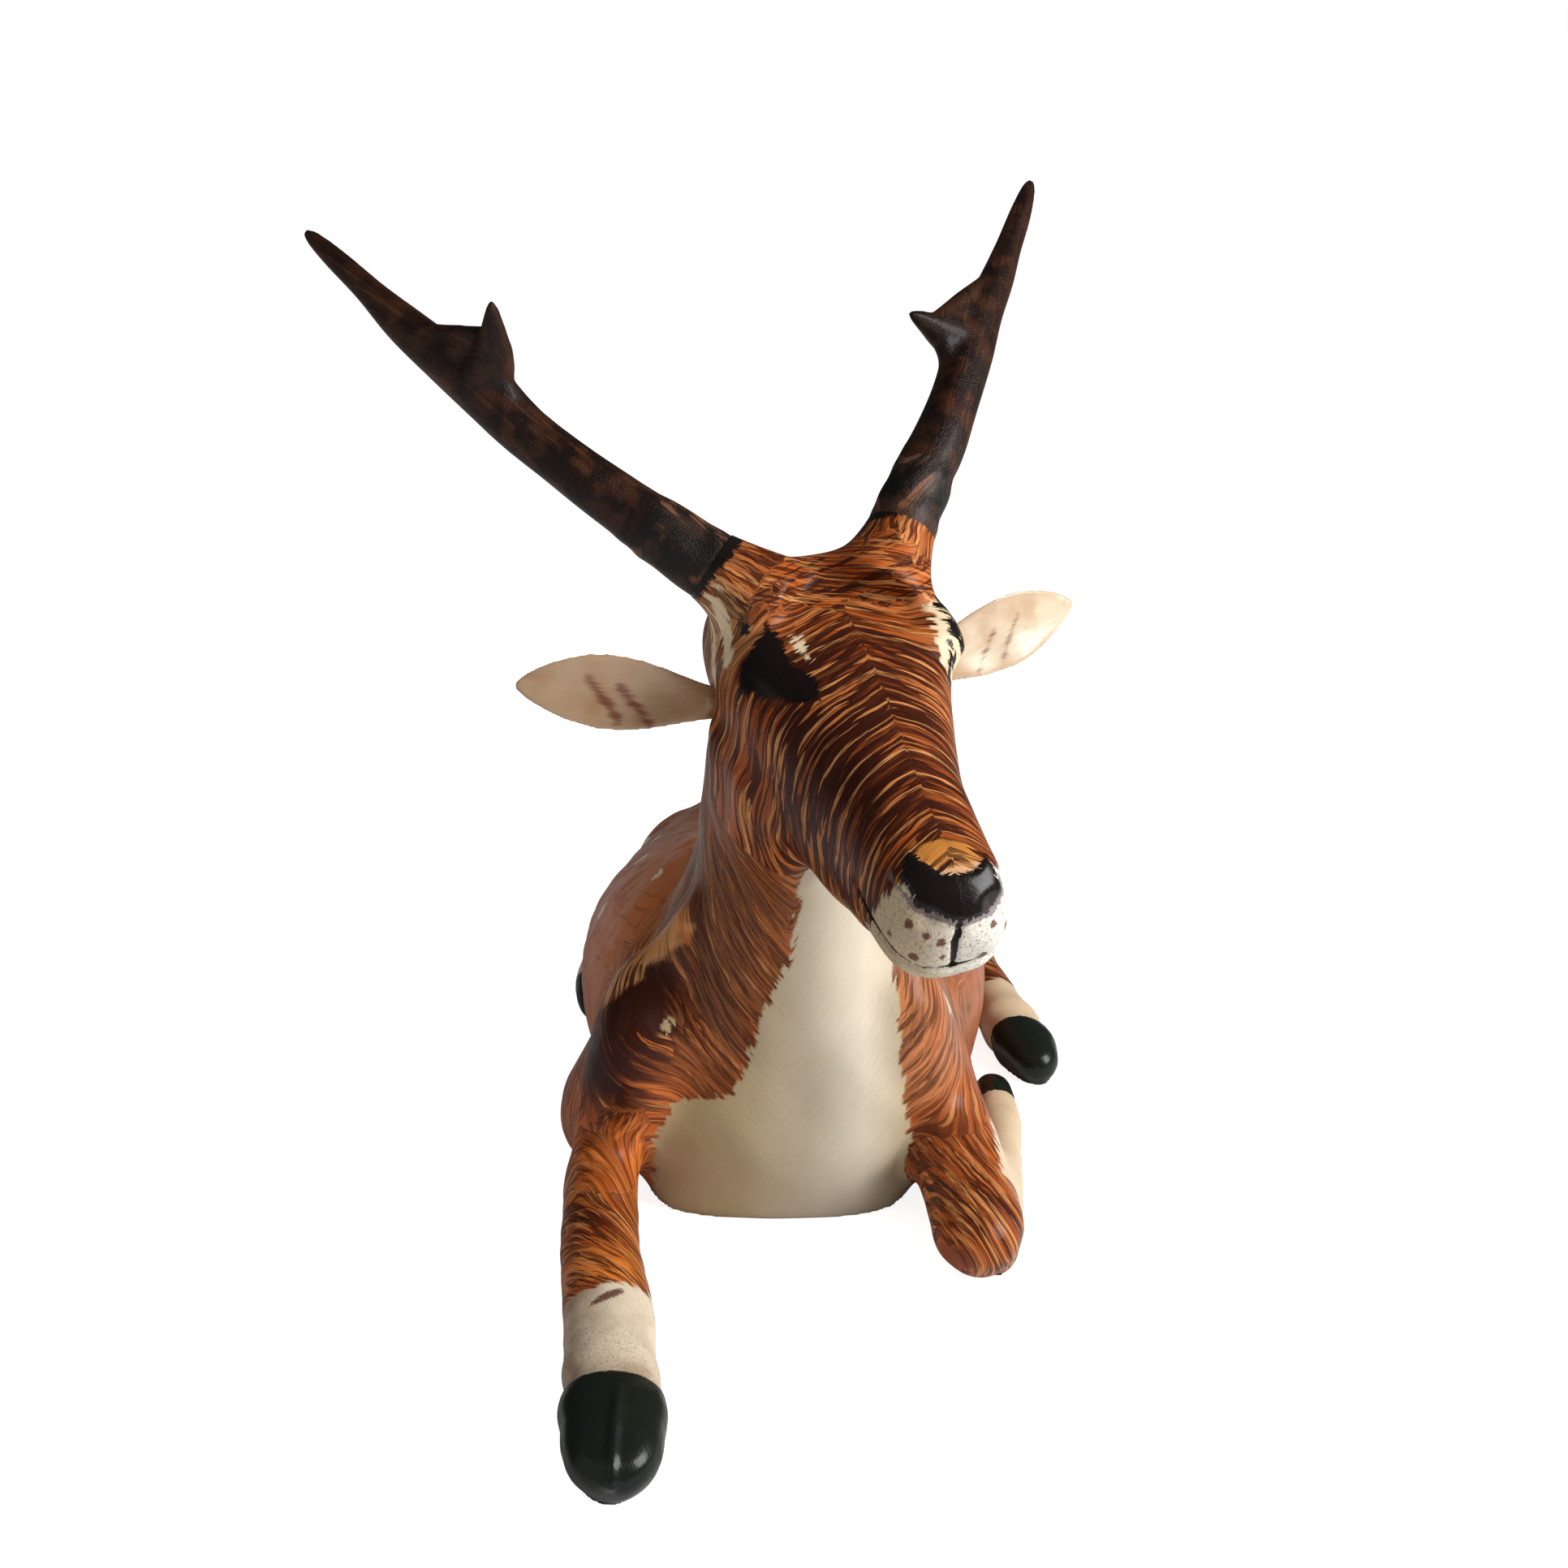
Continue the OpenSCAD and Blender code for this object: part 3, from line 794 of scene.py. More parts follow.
@dataclass(frozen=True)
class PaintedCoat:
    """Fine brushwork in several browns under a glossy varnish."""

    umber: tuple = (54, 22, 13)
    rust: tuple = (176, 82, 24)
    tan: tuple = (222, 160, 98)
    amber: tuple = (196, 104, 44)
    mauve: tuple = (104, 88, 92)
    dot: tuple = (94, 54, 38)
    orange: tuple = (208, 138, 62)
    line: tuple = (26, 18, 14)
    # The brown of crackle and streaks; on the sock it also serves as painted shade
    grime: tuple = (120, 96, 66)

    def build(self, fx: Effects) -> bpy.types.Material:
        """Makes the material.

        Args:
            fx: the shared node groups.

        Returns:
            The material.
        """
        material, b, shader = new_material("painted_coat")
        place = place_mm(b)
        flow, cross = (b.attribute(n).outputs["Vector"] for n in ("flow", "cross"))
        dark, light, warm = b.parts(b.attribute("brushwork").outputs["Vector"])
        pale, black, orange = b.parts(b.attribute("marks").outputs["Vector"])
        line, dots, nose = b.parts(b.attribute("details").outputs["Vector"])
        wide = b.group(fx.strokes, Flow=flow, Width=2.1, Length=13.0, Seed=1.5)
        main = b.group(fx.strokes, Flow=flow, Width=0.8, Length=9.0, Seed=7.5)
        fine = b.group(fx.strokes, Flow=cross, Width=0.36, Length=6.5, Seed=13.5)
        pick = b.group(fx.strokes, Flow=cross, Width=0.56, Length=7.0, Seed=21.5)
        age = b.group(fx.age, Place=place)
        grit = age.outputs["Relief"]

        colour = b.attribute("ground").outputs["Color"]
        warmth = b.step(b.math("SUBTRACT", warm, wide.outputs["Hue"]), -0.15, 0.25)
        colour = b.mix(b.math("MULTIPLY", warmth, 0.7), colour, rgb(*self.rust))
        deep = b.step(b.math("SUBTRACT", dark, wide.outputs["Tone"]), -0.2, 0.25)
        deep = b.math("MULTIPLY", deep, b.step(wide.outputs["Bristle"], 0.25, 0.6))
        depth = b.attribute("depth").outputs["Fac"]
        deep = b.math("MULTIPLY", deep, depth)
        colour = b.mix(b.math("MULTIPLY", deep, 0.55), colour, rgb(*self.umber))
        for strokes, share, soft in ((main, 0.92, 0.05), (fine, 0.85, 0.05)):
            hit = b.step(b.math("SUBTRACT", dark, strokes.outputs["Tone"]), -soft, soft)
            broken = b.step(strokes.outputs["Bristle"], 0.3, 0.46)
            hit = b.math("MULTIPLY", b.math("MULTIPLY", hit, broken), share)
            hit = b.math("MULTIPLY", hit, b.math("POWER", depth, 1.6 if strokes is main else 0.5))
            colour = b.mix(hit, colour, rgb(*self.umber))
        hit = b.step(b.math("SUBTRACT", light, pick.outputs["Tone"]), -0.03, 0.03)
        hit = b.math("MULTIPLY", hit, b.step(pick.outputs["Bristle"], 0.38, 0.58))
        hit = b.math("MULTIPLY", hit, b.math("POWER", depth, 0.6))
        bright = b.mix(pick.outputs["Hue"], rgb(*self.amber), rgb(*self.tan))
        colour = b.mix(b.math("MULTIPLY", hit, 0.8), colour, bright)

        rag = b.math("MULTIPLY_ADD", main.outputs["Tone"], 0.6, b.math("MULTIPLY", grit, 0.4))
        cover = b.group(fx.edge, Distance=pale, Rag=rag, Reach=2.3, Softness=0.7)
        # Speckled brown over the cream: crackled wear, and on the sock painted shade
        worn = b.math("MULTIPLY", age.outputs["Speckle"], b.attribute("worn").outputs["Fac"])
        cream = b.mix(worn, b.attribute("cream").outputs["Color"], rgb(*self.grime))
        streak = b.math("MULTIPLY", b.step(main.outputs["Bristle"], 0.35, 0.75), 0.09)
        cream = b.mix(streak, cream, rgb(*self.grime))
        colour = b.mix(cover.outputs["Mask"], colour, cream)
        cover = b.group(fx.edge, Distance=orange, Rag=main.outputs["Tone"], Reach=1.6, Softness=0.6)
        dab = b.math("MULTIPLY", cover.outputs["Mask"], b.step(main.outputs["Tone"], 0.12, 0.4))
        colour = b.mix(b.math("MULTIPLY", dab, 0.7), colour, rgb(*self.orange))
        rim = b.math("ADD", nose, 0.85)
        for distance, reach, share, paint in (
            (dots, 0.9, 0.92, self.dot), (rim, 0.8, 0.8, self.mauve),
        ):
            cover = b.group(fx.edge, Distance=distance, Rag=grit, Reach=reach, Softness=0.4)
            colour = b.mix(b.math("MULTIPLY", cover.outputs["Mask"], share), colour, rgb(*paint))
        rag = b.math("MULTIPLY_ADD", fine.outputs["Tone"], 0.5, b.math("MULTIPLY", grit, 0.5))
        cover = b.group(fx.edge, Distance=black, Rag=rag, Reach=1.5, Softness=0.35)
        ink = cover.outputs["Mask"]
        colour = b.mix(ink, colour, b.attribute("ink").outputs["Color"])
        hair = b.group(fx.line, Distance=line, Width=0.62, Rag=grit)
        colour = b.mix(hair.outputs["Mask"], colour, rgb(*self.line))
        b.feed(shader.inputs["Base Color"], colour)

        rough = b.math("MULTIPLY_ADD", age.outputs["Grime"], 0.14, 0.34)
        rough = b.math("MULTIPLY_ADD", ink, -0.1, rough)
        b.feed(shader.inputs["Roughness"], rough)
        b.feed(shader.inputs["Coat Weight"], b.math("MULTIPLY_ADD", ink, 0.14, 0.05))
        shader.inputs["Coat Roughness"].default_value = 0.16
        shader.inputs["Specular IOR Level"].default_value = 0.1
        fine_grit = b.math("MULTIPLY", grit, 0.4)
        relief = b.math("MULTIPLY_ADD", main.outputs["Bristle"], 0.6, fine_grit)
        b.bump(shader, relief, 0.12, 0.7)
        return material


@dataclass(frozen=True)
class PatchyCoat:
    """One dark paint with others showing through it, for antlers and putty."""

    name: str
    main: tuple
    edge: tuple
    fleck: tuple
    flecks: float = 0.3
    stretch: tuple = (0.12, 0.12, 0.12)
    roughness: float = 0.36

    def build(self, fx: Effects) -> bpy.types.Material:
        """Makes the material.

        Args:
            fx: the shared node groups.

        Returns:
            The material.
        """
        material, b, shader = new_material(self.name)
        place = place_mm(b)
        age = b.group(fx.age, Place=place)
        drawn = b.group(
            fx.strokes, Flow=b.attribute("flow").outputs["Vector"], Width=0.9, Length=12.0, Seed=3.5
        )
        warm = b.attribute("warm").outputs["Fac"]
        patch = b.noise(b.vector("MULTIPLY", place, self.stretch), 2.2, 3.0)
        colour = b.mix(b.step(patch, 0.42, 0.66), rgb(*self.main), rgb(*self.edge))
        # Where warm is high the edge colour comes through: real paint on the putty, on the antlers
        # partly a painted glow on faces turned sideways
        show = b.math("MULTIPLY_ADD", drawn.outputs["Tone"], 0.35, warm)
        colour = b.mix(b.step(show, 0.35, 1.0), colour, rgb(*self.edge))
        fleck = b.math("SUBTRACT", self.flecks, drawn.outputs["Hue"])
        fleck = b.math("MULTIPLY", b.step(fleck, -0.05, 0.05), b.step(patch, 0.4, 0.6))
        colour = b.mix(b.math("MULTIPLY", fleck, 0.55), colour, rgb(*self.fleck))
        streak = b.math("MULTIPLY", b.step(drawn.outputs["Bristle"], 0.45, 0.75), 0.45)
        colour = b.mix(streak, colour, rgb(*self.main))
        b.feed(shader.inputs["Base Color"], colour)
        grit = age.outputs["Relief"]
        rough = b.math("MULTIPLY_ADD", grit, 0.24, self.roughness - 0.1)
        b.feed(shader.inputs["Roughness"], rough)
        shader.inputs["Coat Weight"].default_value = 0.06
        shader.inputs["Coat Roughness"].default_value = 0.2
        shader.inputs["Specular IOR Level"].default_value = 0.16
        b.bump(shader, b.math("ADD", drawn.outputs["Bristle"], grit), 0.2, 0.8)
        return material


@dataclass(frozen=True)
class PaleCoat:
    """Glossy pinkish cream with brown streaks, for the ears, and tan that on the right ear is
    painted shade.
    """

    cream: tuple = (212, 196, 168)
    rose: tuple = (190, 160, 128)
    streak: tuple = (120, 62, 42)
    # The tan near the ears' roots, and over the right ear as painted shade
    tan: tuple = (168, 122, 84)

    def build(self, fx: Effects) -> bpy.types.Material:
        """Makes the material.

        Args:
            fx: the shared node groups.

        Returns:
            The material.
        """
        material, b, shader = new_material("pale_coat")
        age = b.group(fx.age, Place=place_mm(b))
        flow = b.attribute("flow").outputs["Vector"]
        drawn = b.group(fx.strokes, Flow=flow, Width=1.0, Length=12.0, Seed=5.5)
        colour = b.mix(age.outputs["Grime"], rgb(*self.cream), rgb(*self.rose))
        # Tan from the root, and painted shade over the right ear
        tanned = b.attribute("tanned").outputs["Fac"]
        colour = b.mix(tanned, colour, rgb(*self.tan))
        soft = b.math("MULTIPLY", b.step(drawn.outputs["Tone"], 0.6, 0.9), 0.35)
        colour = b.mix(soft, colour, rgb(*self.rose))
        rim = b.math("MULTIPLY", b.attribute("rim").outputs["Fac"], 0.6)
        colour = b.mix(rim, colour, rgb(*self.rose))
        marks, rag = b.attribute("streaks").outputs["Fac"], drawn.outputs["Bristle"]
        cover = b.group(fx.edge, Distance=marks, Rag=rag, Reach=2.6, Softness=1.3)
        colour = b.mix(b.math("MULTIPLY", cover.outputs["Mask"], 0.85), colour, rgb(*self.streak))
        b.feed(shader.inputs["Base Color"], colour)
        shader.inputs["Roughness"].default_value = 0.3
        shader.inputs["Coat Weight"].default_value = 0.22
        shader.inputs["Coat Roughness"].default_value = 0.14
        shader.inputs["Subsurface Weight"].default_value = 0.08
        shader.inputs["Subsurface Scale"].default_value = 1 * MM
        b.bump(shader, rag, 0.1, 0.6)
        return material


@dataclass(frozen=True)
class BareWood:
    """Turned beech, for the pegs and the dowels."""

    pale: tuple = (214, 178, 130)
    dark: tuple = (168, 122, 78)

    def build(self, fx: Effects) -> bpy.types.Material:
        """Makes the material.

        Args:
            fx: the shared node groups.

        Returns:
            The material.
        """
        material, b, shader = new_material("bare_wood")
        grain = b.group(fx.grain, Place=place_mm(b)).outputs["Grain"]
        b.feed(shader.inputs["Base Color"], b.mix(grain, rgb(*self.pale), rgb(*self.dark)))
        shader.inputs["Roughness"].default_value = 0.62
        b.bump(shader, grain, 0.05)
        return material


# ---- The paint on the wooden blocks -------------------------------------------------


@dataclass(frozen=True)
class Wash:
    """A soft area of ground colour."""

    centre: tuple
    radii: tuple
    colour: tuple
    strength: float = 1.0


HEAD_WASHES = (
    Wash((0, 4, 0), (20, 14, 12), (172, 90, 40)),
    Wash((8, 8, 0), (9, 10, 9), (190, 104, 50)),
    Wash((-15, 6, -5), (5, 10, 8), (206, 152, 104)),
    Wash((16, 20, -12), (4, 30, 14), (190, 128, 84)),
    Wash((-8, 36, -6), (11, 17, 14), (92, 38, 22)),
    Wash((4, 34, 0), (8, 16, 8), (140, 66, 30)),
    Wash((-14, 24, -22), (7, 16, 12), (150, 82, 46)),
    Wash((-9, 52, -18), (8, 10, 8), (160, 96, 52)),
    Wash((2, 54, 0), (6, 6, 6), (150, 76, 34)),
)
BODY_WASHES = (
    Wash((-30, -30, 50), (26, 44, 30), (206, 116, 58)),
    Wash((-34, -20, 20), (16, 60, 22), (184, 100, 50)),
    Wash((-16, -76, 74), (18, 26, 20), (142, 92, 58)),
    Wash((-16, -84, 46), (12, 14, 18), (122, 76, 48)),
    Wash((-28, -84, 24), (10, 16, 12), (200, 98, 40)),
    Wash((-30, -98, 12), (12, 30, 22), (218, 124, 58)),
    Wash((-24, -112, 13), (5, 9, 6), (228, 132, 56)),
    Wash((-31, -102, 10), (5, 6, 8), (120, 54, 26)),
    Wash((24, -80, 36), (10, 18, 20), (194, 124, 80)),
    Wash((32, -88, 12), (14, 26, 14), (158, 80, 36)),
    Wash((33, -104, 6), (10, 9, 12), (128, 62, 32)),
    Wash((0, 30, 50), (24, 60, 16), (132, 72, 38)),
    Wash((40, 30, 20), (20, 40, 20), (158, 88, 46)),
)


@dataclass
class Brush:
    """Works out every painted mark from a point's place on the animal.

    Args:
        piece: the wooden block's name.
        points: its vertices in the row's frame, in millimetres.
        normals: their normals.
    """

    piece: str
    points: np.ndarray
    normals: np.ndarray

    # The two ends and the reach of each painted dab, in the head's frame
    brow_dabs = (
        ((-14.6, 3.5, -1.0), (-15.4, 12.5, -6.0), 1.5),
        ((-16.4, 4.0, -6.0), (-16.8, 10.0, -11.0), 1.1),
        ((-6.9, 15.6, 0.5), (-6.6, 20.6, 0.3), 0.5),
        ((16.4, 12.8, -2.0), (14.9, 22.0, -3.8), 1.3),
        ((17.2, 11.0, -4.4), (15.8, 22.0, -6.0), 1.9),
    )
    ink_dabs = (
        ((-12.6, 9.6, -1.9), (-12.9, 11.4, -2.2), 0.6),
        ((16.4, 10.5, -2.6), (17.4, 14.0, -4.6), 0.72),
        ((16.1, 12.5, -2.8), (17.2, 17.0, -5.2), 0.78),
        ((17.4, 13.0, -4.8), (16.2, 20.0, -5.4), 0.72),
        ((16.4, 15.6, -3.8), (16.8, 21.5, -6.2), 0.78),
        ((15.6, 18.6, -4.2), (15.9, 24.0, -6.6), 0.78),
    )
    # Outlines: the eye patch as x and forward, the nose pad as x and forward less 0.9 z
    eye_patch = (
        (-10.2, 12.0), (-8.9, 13.6), (-9.0, 18.2), (-8.6, 21.0), (-7.2, 23.6), (-6.2, 25.0),
        (-7.2, 28.8), (-9.8, 27.8), (-12.2, 24.8), (-14.4, 22.4), (-16.6, 19.8), (-15.4, 16.8),
        (-13.6, 15.2), (-12.4, 14.2),
    )
    nose_pad = (
        (-4.5, 60.0), (-6.5, 64.1), (-5.1, 69.8), (-0.4, 73.7), (4.0, 72.8), (6.3, 69.7),
        (5.3, 63.3), (3.0, 65.7), (-1.7, 65.0),
    )
    # The cream of throat and breast, as x and z in the row's frame
    bib = (
        (3.0, 104.0), (2.5, 67.0), (1.2, 54.5), (-3.5, 43.5), (-7.0, 32.0), (-9.0, 27.5),
        (-14.5, 26.5), (-19.0, 25.0), (-22.5, 18.0), (-23.5, 8.0), (-24.0, -5.0), (24.0, -5.0),
        (22.0, 17.5), (20.0, 34.0), (19.0, 45.0), (18.5, 60.0), (16.0, 104.0),
    )
    # A place and a size each: the spots in the row's frame, the dots in the head's
    spots = (
        (-19.6, -87, 40.3, 1.0), (29.3, -74.6, 38.8, 1.7), (-25, -41.5, 50.7, 1.5),
        (-37, -24, 36, 1.8), (-34, -4, 44, 1.7),
        (-40, 6, 30, 1.7), (-24, 4, 52, 1.9), (-33, 22, 40, 1.8), (-22, 30, 47, 1.7),
        (-36, 40, 30, 1.8), (-22, 52, 40, 1.8), (-30, 62, 26, 1.6), (-10, -12, 60, 1.6),
        (-10, 18, 55, 1.7), (-10, 44, 48, 1.7), (10, -20, 60, 1.7), (10, 8, 56, 1.7),
        (10, 36, 50, 1.6), (24, -26, 54, 1.9), (34, -34, 44, 1.8), (24, 0, 52, 1.8),
        (36, -8, 42, 1.8), (40, -24, 32, 1.7), (25, 26, 46, 1.7), (38, 14, 34, 1.8),
        (38, 44, 30, 1.8), (24, 50, 40, 1.7), (30, 62, 28, 1.6), (12, 64, 36, 1.6),
        (-12, 66, 34, 1.6),
    )
    muzzle_dots = (
        (-6.7, 66.9, -6.2, 0.75), (-4.8, 68.8, -6.9, 0.6), (-3.0, 69.9, -7.6, 0.7),
        (-5.8, 68.4, -10.7, 0.75), (3.1, 69.3, -11.7, 0.7), (4.5, 69.0, -6.8, 0.6),
        (-2.6, 69.7, -10.2, 0.45), (6.2, 67.0, -9.4, 0.6), (-7.8, 65.0, -9.6, 0.5),
    )
    # Painted lines over the muzzle, in the head's frame
    mouth = (
        (-12.2, 50.0, -10.5), (-9.2, 59.0, -11.5), (-7.5, 65.6, -12.0), (-4.5, 68.2, -12.9),
        (-0.7, 69.4, -13.1), (4.0, 68.4, -12.8), (7.5, 65.4, -12.0), (9.2, 59.0, -11.5),
        (12.2, 50.0, -10.5),
    )
    philtrum = ((-0.4, 69.6, -4.8), (-1.2, 70.2, -7.9), (-0.9, 69.8, -11.0), (-0.7, 69.2, -13.1))

    def __post_init__(self) -> None:
        """Keeps the points in the head's frame too."""
        self.head = HEAD.local(self.points)
        self.facing = self.normals @ HEAD.turn() * np.array([1, -1, 1])

    def off(self, start: tuple, end: tuple) -> np.ndarray:
        """The distance over the head's skin from a line in the head's frame."""
        return stroke(self.head, start, end, self.facing)

    def along(self, path: tuple) -> np.ndarray:
        """The distance over the head's skin from a path of straight runs."""
        return np.min([self.off(a, c) for a, c in zip(path, path[1:])], axis=0)

    def nose(self) -> np.ndarray:
        """How far inside the nose pad each point lies."""
        x, f, z = self.head.T
        inside = outline(np.column_stack([x, f - 0.9 * z]), list(self.nose_pad))
        return np.where((f > 54) & (z > -9), inside, NOWHERE)

    def head_flow(self) -> tuple[np.ndarray, np.ndarray]:
        """Strokes that sweep out from the ridge of the face and down the cheeks."""
        x, f, z = self.head.T
        ridge = np.interp(f, [0, 31, 55, 70], [2.2, 2.0, 0.6, 0.2])
        arc = 14 * np.arctan2(np.abs(x - ridge), z + 15.5)
        sweep = 12.5 * np.tanh(arc / 19)
        flow = np.column_stack([f - sweep, arc + 0.25 * f, np.sign(x - ridge) * 8])
        cross = np.column_stack([f - sweep + 0.14 * arc, arc - 0.1 * f, flow[:, 2] + 3])
        ragged = 1.6 * lumps(self.points, 4, 41)
        over = f - 1.1 * z
        reach = 11 - 0.25 * np.abs(x) + 4 * smooth(4, 9, x)
        brow = (over + ragged < reach) & (z > -9)
        for sheet, slant in ((flow, 0.4), (cross, -0.4)):
            top = np.column_stack([over + slant * x, x - slant * over, 0 * x + 30])
            sheet[brow] = top[brow]
        for side in Side:
            way, middle = antler_root(side)
            away = self.points - middle
            reach = away @ way
            level = np.cross(way, (0, 1, 0))
            level /= np.linalg.norm(level)
            turn = np.arctan2(away @ level, away @ np.cross(way, level))
            out = np.linalg.norm(away - reach[:, None] * way, axis=1)
            stalk = (reach + ragged > (-8 if side is Side.RIGHT else -5.5)) & (out < 9.5)
            up = np.column_stack([6 * turn, 1.4 * reach, 0 * x + 50])
            flow[stalk], cross[stalk] = up[stalk], up[stalk] + 0.3
        return flow, cross

    def body_flow(self) -> tuple[np.ndarray, np.ndarray]:
        """Long arcs that droop round the neck, and softer strokes along the flanks."""
        x, y, z = self.points.T
        middle_x = np.interp(z, [8, 60, 92, 110], [-1, 1, 4, 5])
        middle_y = np.interp(z, [8, 26, 60, 92, 110], [-54, -58, -70, -81, -86])
        turn = np.abs(np.arctan2(x - middle_x, middle_y - y))
        droop = 22 * turn - 0.75 * z - 4 * np.cos(np.clip(1.2 * turn, 0, math.pi))
        side = np.sign(x - middle_x) * 8
        ragged = lumps(self.points, 5, 45)
        neck = np.column_stack([droop, -1.05 * z - 6 * turn, side])
        flank = np.column_stack([0.9 * z + 0.12 * y, y + 0.2 * z, side + 40])
        flow = np.where((y + 5 * ragged < -55)[:, None], neck, flank)
        elbow = (x + ragged < -24) & (z + 2 * ragged < 26)
        elbow = (elbow & (y < -52))[:, None]
        cross = flow + np.column_stack([0.1 * flow[:, 1], -0.1 * flow[:, 0], 3 + 0 * x])
        limb, limb_cross = self.leg_flow("foreleg_right")
        return np.where(elbow, limb, flow), np.where(elbow, limb_cross, cross)

    def leg_flow(self, leg: str) -> tuple[np.ndarray, np.ndarray]:
        """Slanting curved strokes across a leg."""
        x, y, z = self.points.T
        low, high = (np.array(c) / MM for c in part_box(leg))
        middle = (low + high) / 2
        u = x - middle[0]
        flow = np.column_stack([y + 0.55 * u - 0.4 * z, 1.1 * u - 0.4 * y + z, 0 * x + 2])
        if leg == "foreleg_left":
            flow = np.column_stack([0.7 * u + 0.65 * y + 0.3 * z, 0.6 * z - 0.8 * y + u, 0 * x + 4])
        return flow, flow + np.column_stack([0.25 * flow[:, 1], 0 * x, 0 * x + 3])

    def ground(self) -> np.ndarray:
        """The colour under the strokes."""
        on_head = self.piece == "head"
        places = self.head if on_head else self.points
        colour = np.tile(rgb(134, 70, 34) if on_head else rgb(150, 84, 44), (len(places), 1))
        for wash in HEAD_WASHES if on_head else BODY_WASHES:
            share = np.clip(1.3 * blob(places, wash.centre, wash.radii), 0, 1) * wash.strength
            colour += share[:, None] * (rgb(*wash.colour) - colour)
        if not on_head:
            dark = np.clip(1.2 * self.shoulder(), 0, 1)[:, None]
            colour += dark * (rgb(74, 32, 20) - colour)
            edge = smooth(3.8, 1.8, self.tan_edge())[:, None]
            colour += 0.9 * edge * (rgb(206, 146, 92) - colour)
        return colour

    def tan_edge(self) -> np.ndarray:
        """The distance from the pale stroke over the right shoulder's dark patch."""
        runs = (((-29.5, -80, 44.5), (-24.5, -79, 50.0)), ((-24.5, -79, 50.0), (-16.5, -80, 56.5)))
        off = np.min([stroke(self.points, a, c) for a, c in runs], axis=0)
        return off + 0.8 * lumps(self.points, 3.5, 43)

    def density(self) -> np.ndarray:
        """How thick the dark, light and warm strokes lie."""
        x, y = self.points.T[:2]
        hx, f = self.head.T[:2]
        if self.piece == "head":
            deep = blob(self.head, (-7, 36, -4), (10, 17, 13))
            deep = np.maximum(deep, 0.75 * blob(self.head, (-9, 46, -14), (7, 12, 9)))
            dark = 0.46 + 0.38 * deep - 0.1 * smooth(6, 14, hx) - 0.14 * smooth(-12, -16, hx)
            light = 0.19 + 0.1 * smooth(20, 4, f) + 0.1 * smooth(-12, -16, hx) + 0 * hx
            warm = 0.3 + 0.3 * smooth(18, 6, f)
        elif self.piece in LEGS:
            dark, light, warm = 0.4 + 0 * x, 0.34 + 0 * x, 0.42 + 0 * x
            knee = blob(self.points, (32, -100, 14), (9, 9, 9))
            dark, light = dark + 0.06 * knee, light + 0.1 * knee
            root = self.thigh()
            dark, light = dark + root * (0.06 - dark), light + root * (0.04 - light)
            warm = warm + root * (0.12 - warm)
        else:
            front = smooth(-46, -64, y)
            dark = 0.06 + 0.34 * front
            light = 0.04 + 0.08 * front
            warm = 0.12 + 0.05 * front
            dark = dark + 0.65 * self.shoulder()
            light = light * (1 - np.clip(1.6 * self.shoulder(), 0, 1))
            shoulder = blob(self.points, (-33, -80, 20), (12, 16, 9))
            warm = warm + 0.6 * shoulder
            dark = dark * (1 - 0.85 * smooth(4.5, 2.5, self.tan_edge()))
        return np.column_stack([dark, light, warm])

    def pale(self) -> np.ndarray:
        """How far inside the cream paint each point lies."""
        x, y, z = self.points.T
        f, hz = self.head.T[1:]
        if self.piece == "head":
            muzzle = f - (62.4 + 0.24 * (hz + 4))
            muzzle = np.where(hz < -14, f - 58 + 0.35 * (hz + 14), muzzle)
            result = muzzle
            for a, c, reach in self.brow_dabs:
                result = np.maximum(result, reach - self.off(a, c))
            return result
        if self.piece == "tail":
            return 9 + 0 * x
        if self.piece == "foreleg_right":
            return -119.5 - y + 0.25 * (x + 28)
        if self.piece == "foreleg_left":
            return np.minimum(x - 37.2, y + 92)
        if self.piece == "hind_leg_left":
            return np.minimum(-4 - y, 30 + 0 * x)
        if self.piece == "hind_leg_right":
            return 24 - y
        result = outline(np.column_stack([x, z]), list(self.bib))
        front = np.interp(z, [0, 26, 60, 92, 110], [-60, -64, -76, -87, -92]) - y
        result = np.minimum(result, front)
        for *place, size in self.spots:
            away = stroke(self.points, place, place, self.normals)
            result = np.maximum(result, size - 0.9 * away)
        return result

    def black(self) -> np.ndarray:
        """How far inside the black paint each point lies."""
        x, y = self.points.T[:2]
        hx, f, hz = self.head.T
        if self.piece == "head":
            eye = outline(np.column_stack([hx, f]), list(self.eye_patch))
            eye = np.where((hz > -12) & (hx < 0), eye, NOWHERE)
            result = np.maximum(eye, self.nose())
            for a, c, reach in self.ink_dabs:
                result = np.maximum(result, reach - self.off(a, c))
            for side, depth, lean in ((Side.RIGHT, 1.3, 0.12), (Side.LEFT, 0.2, -0.35)):
                way, middle = antler_root(side)
                away = self.points - middle
                near = np.linalg.norm(away, axis=1) < 14
                edge = away @ way + depth + lean * away[:, 0]
                result = np.maximum(result, np.where(near, edge, NOWHERE))
            return result
        if self.piece == "foreleg_right":
            return (-138.5 - y) * 1.5
        if self.piece == "foreleg_left":
            return np.minimum(y + 49, x - 36) * 1.5
        if self.piece == "hind_leg_left":
            return (-20 - y) * 1.5
        if self.piece == "hind_leg_right":
            return (9 - y) * 1.5
        return NOWHERE + 0 * x

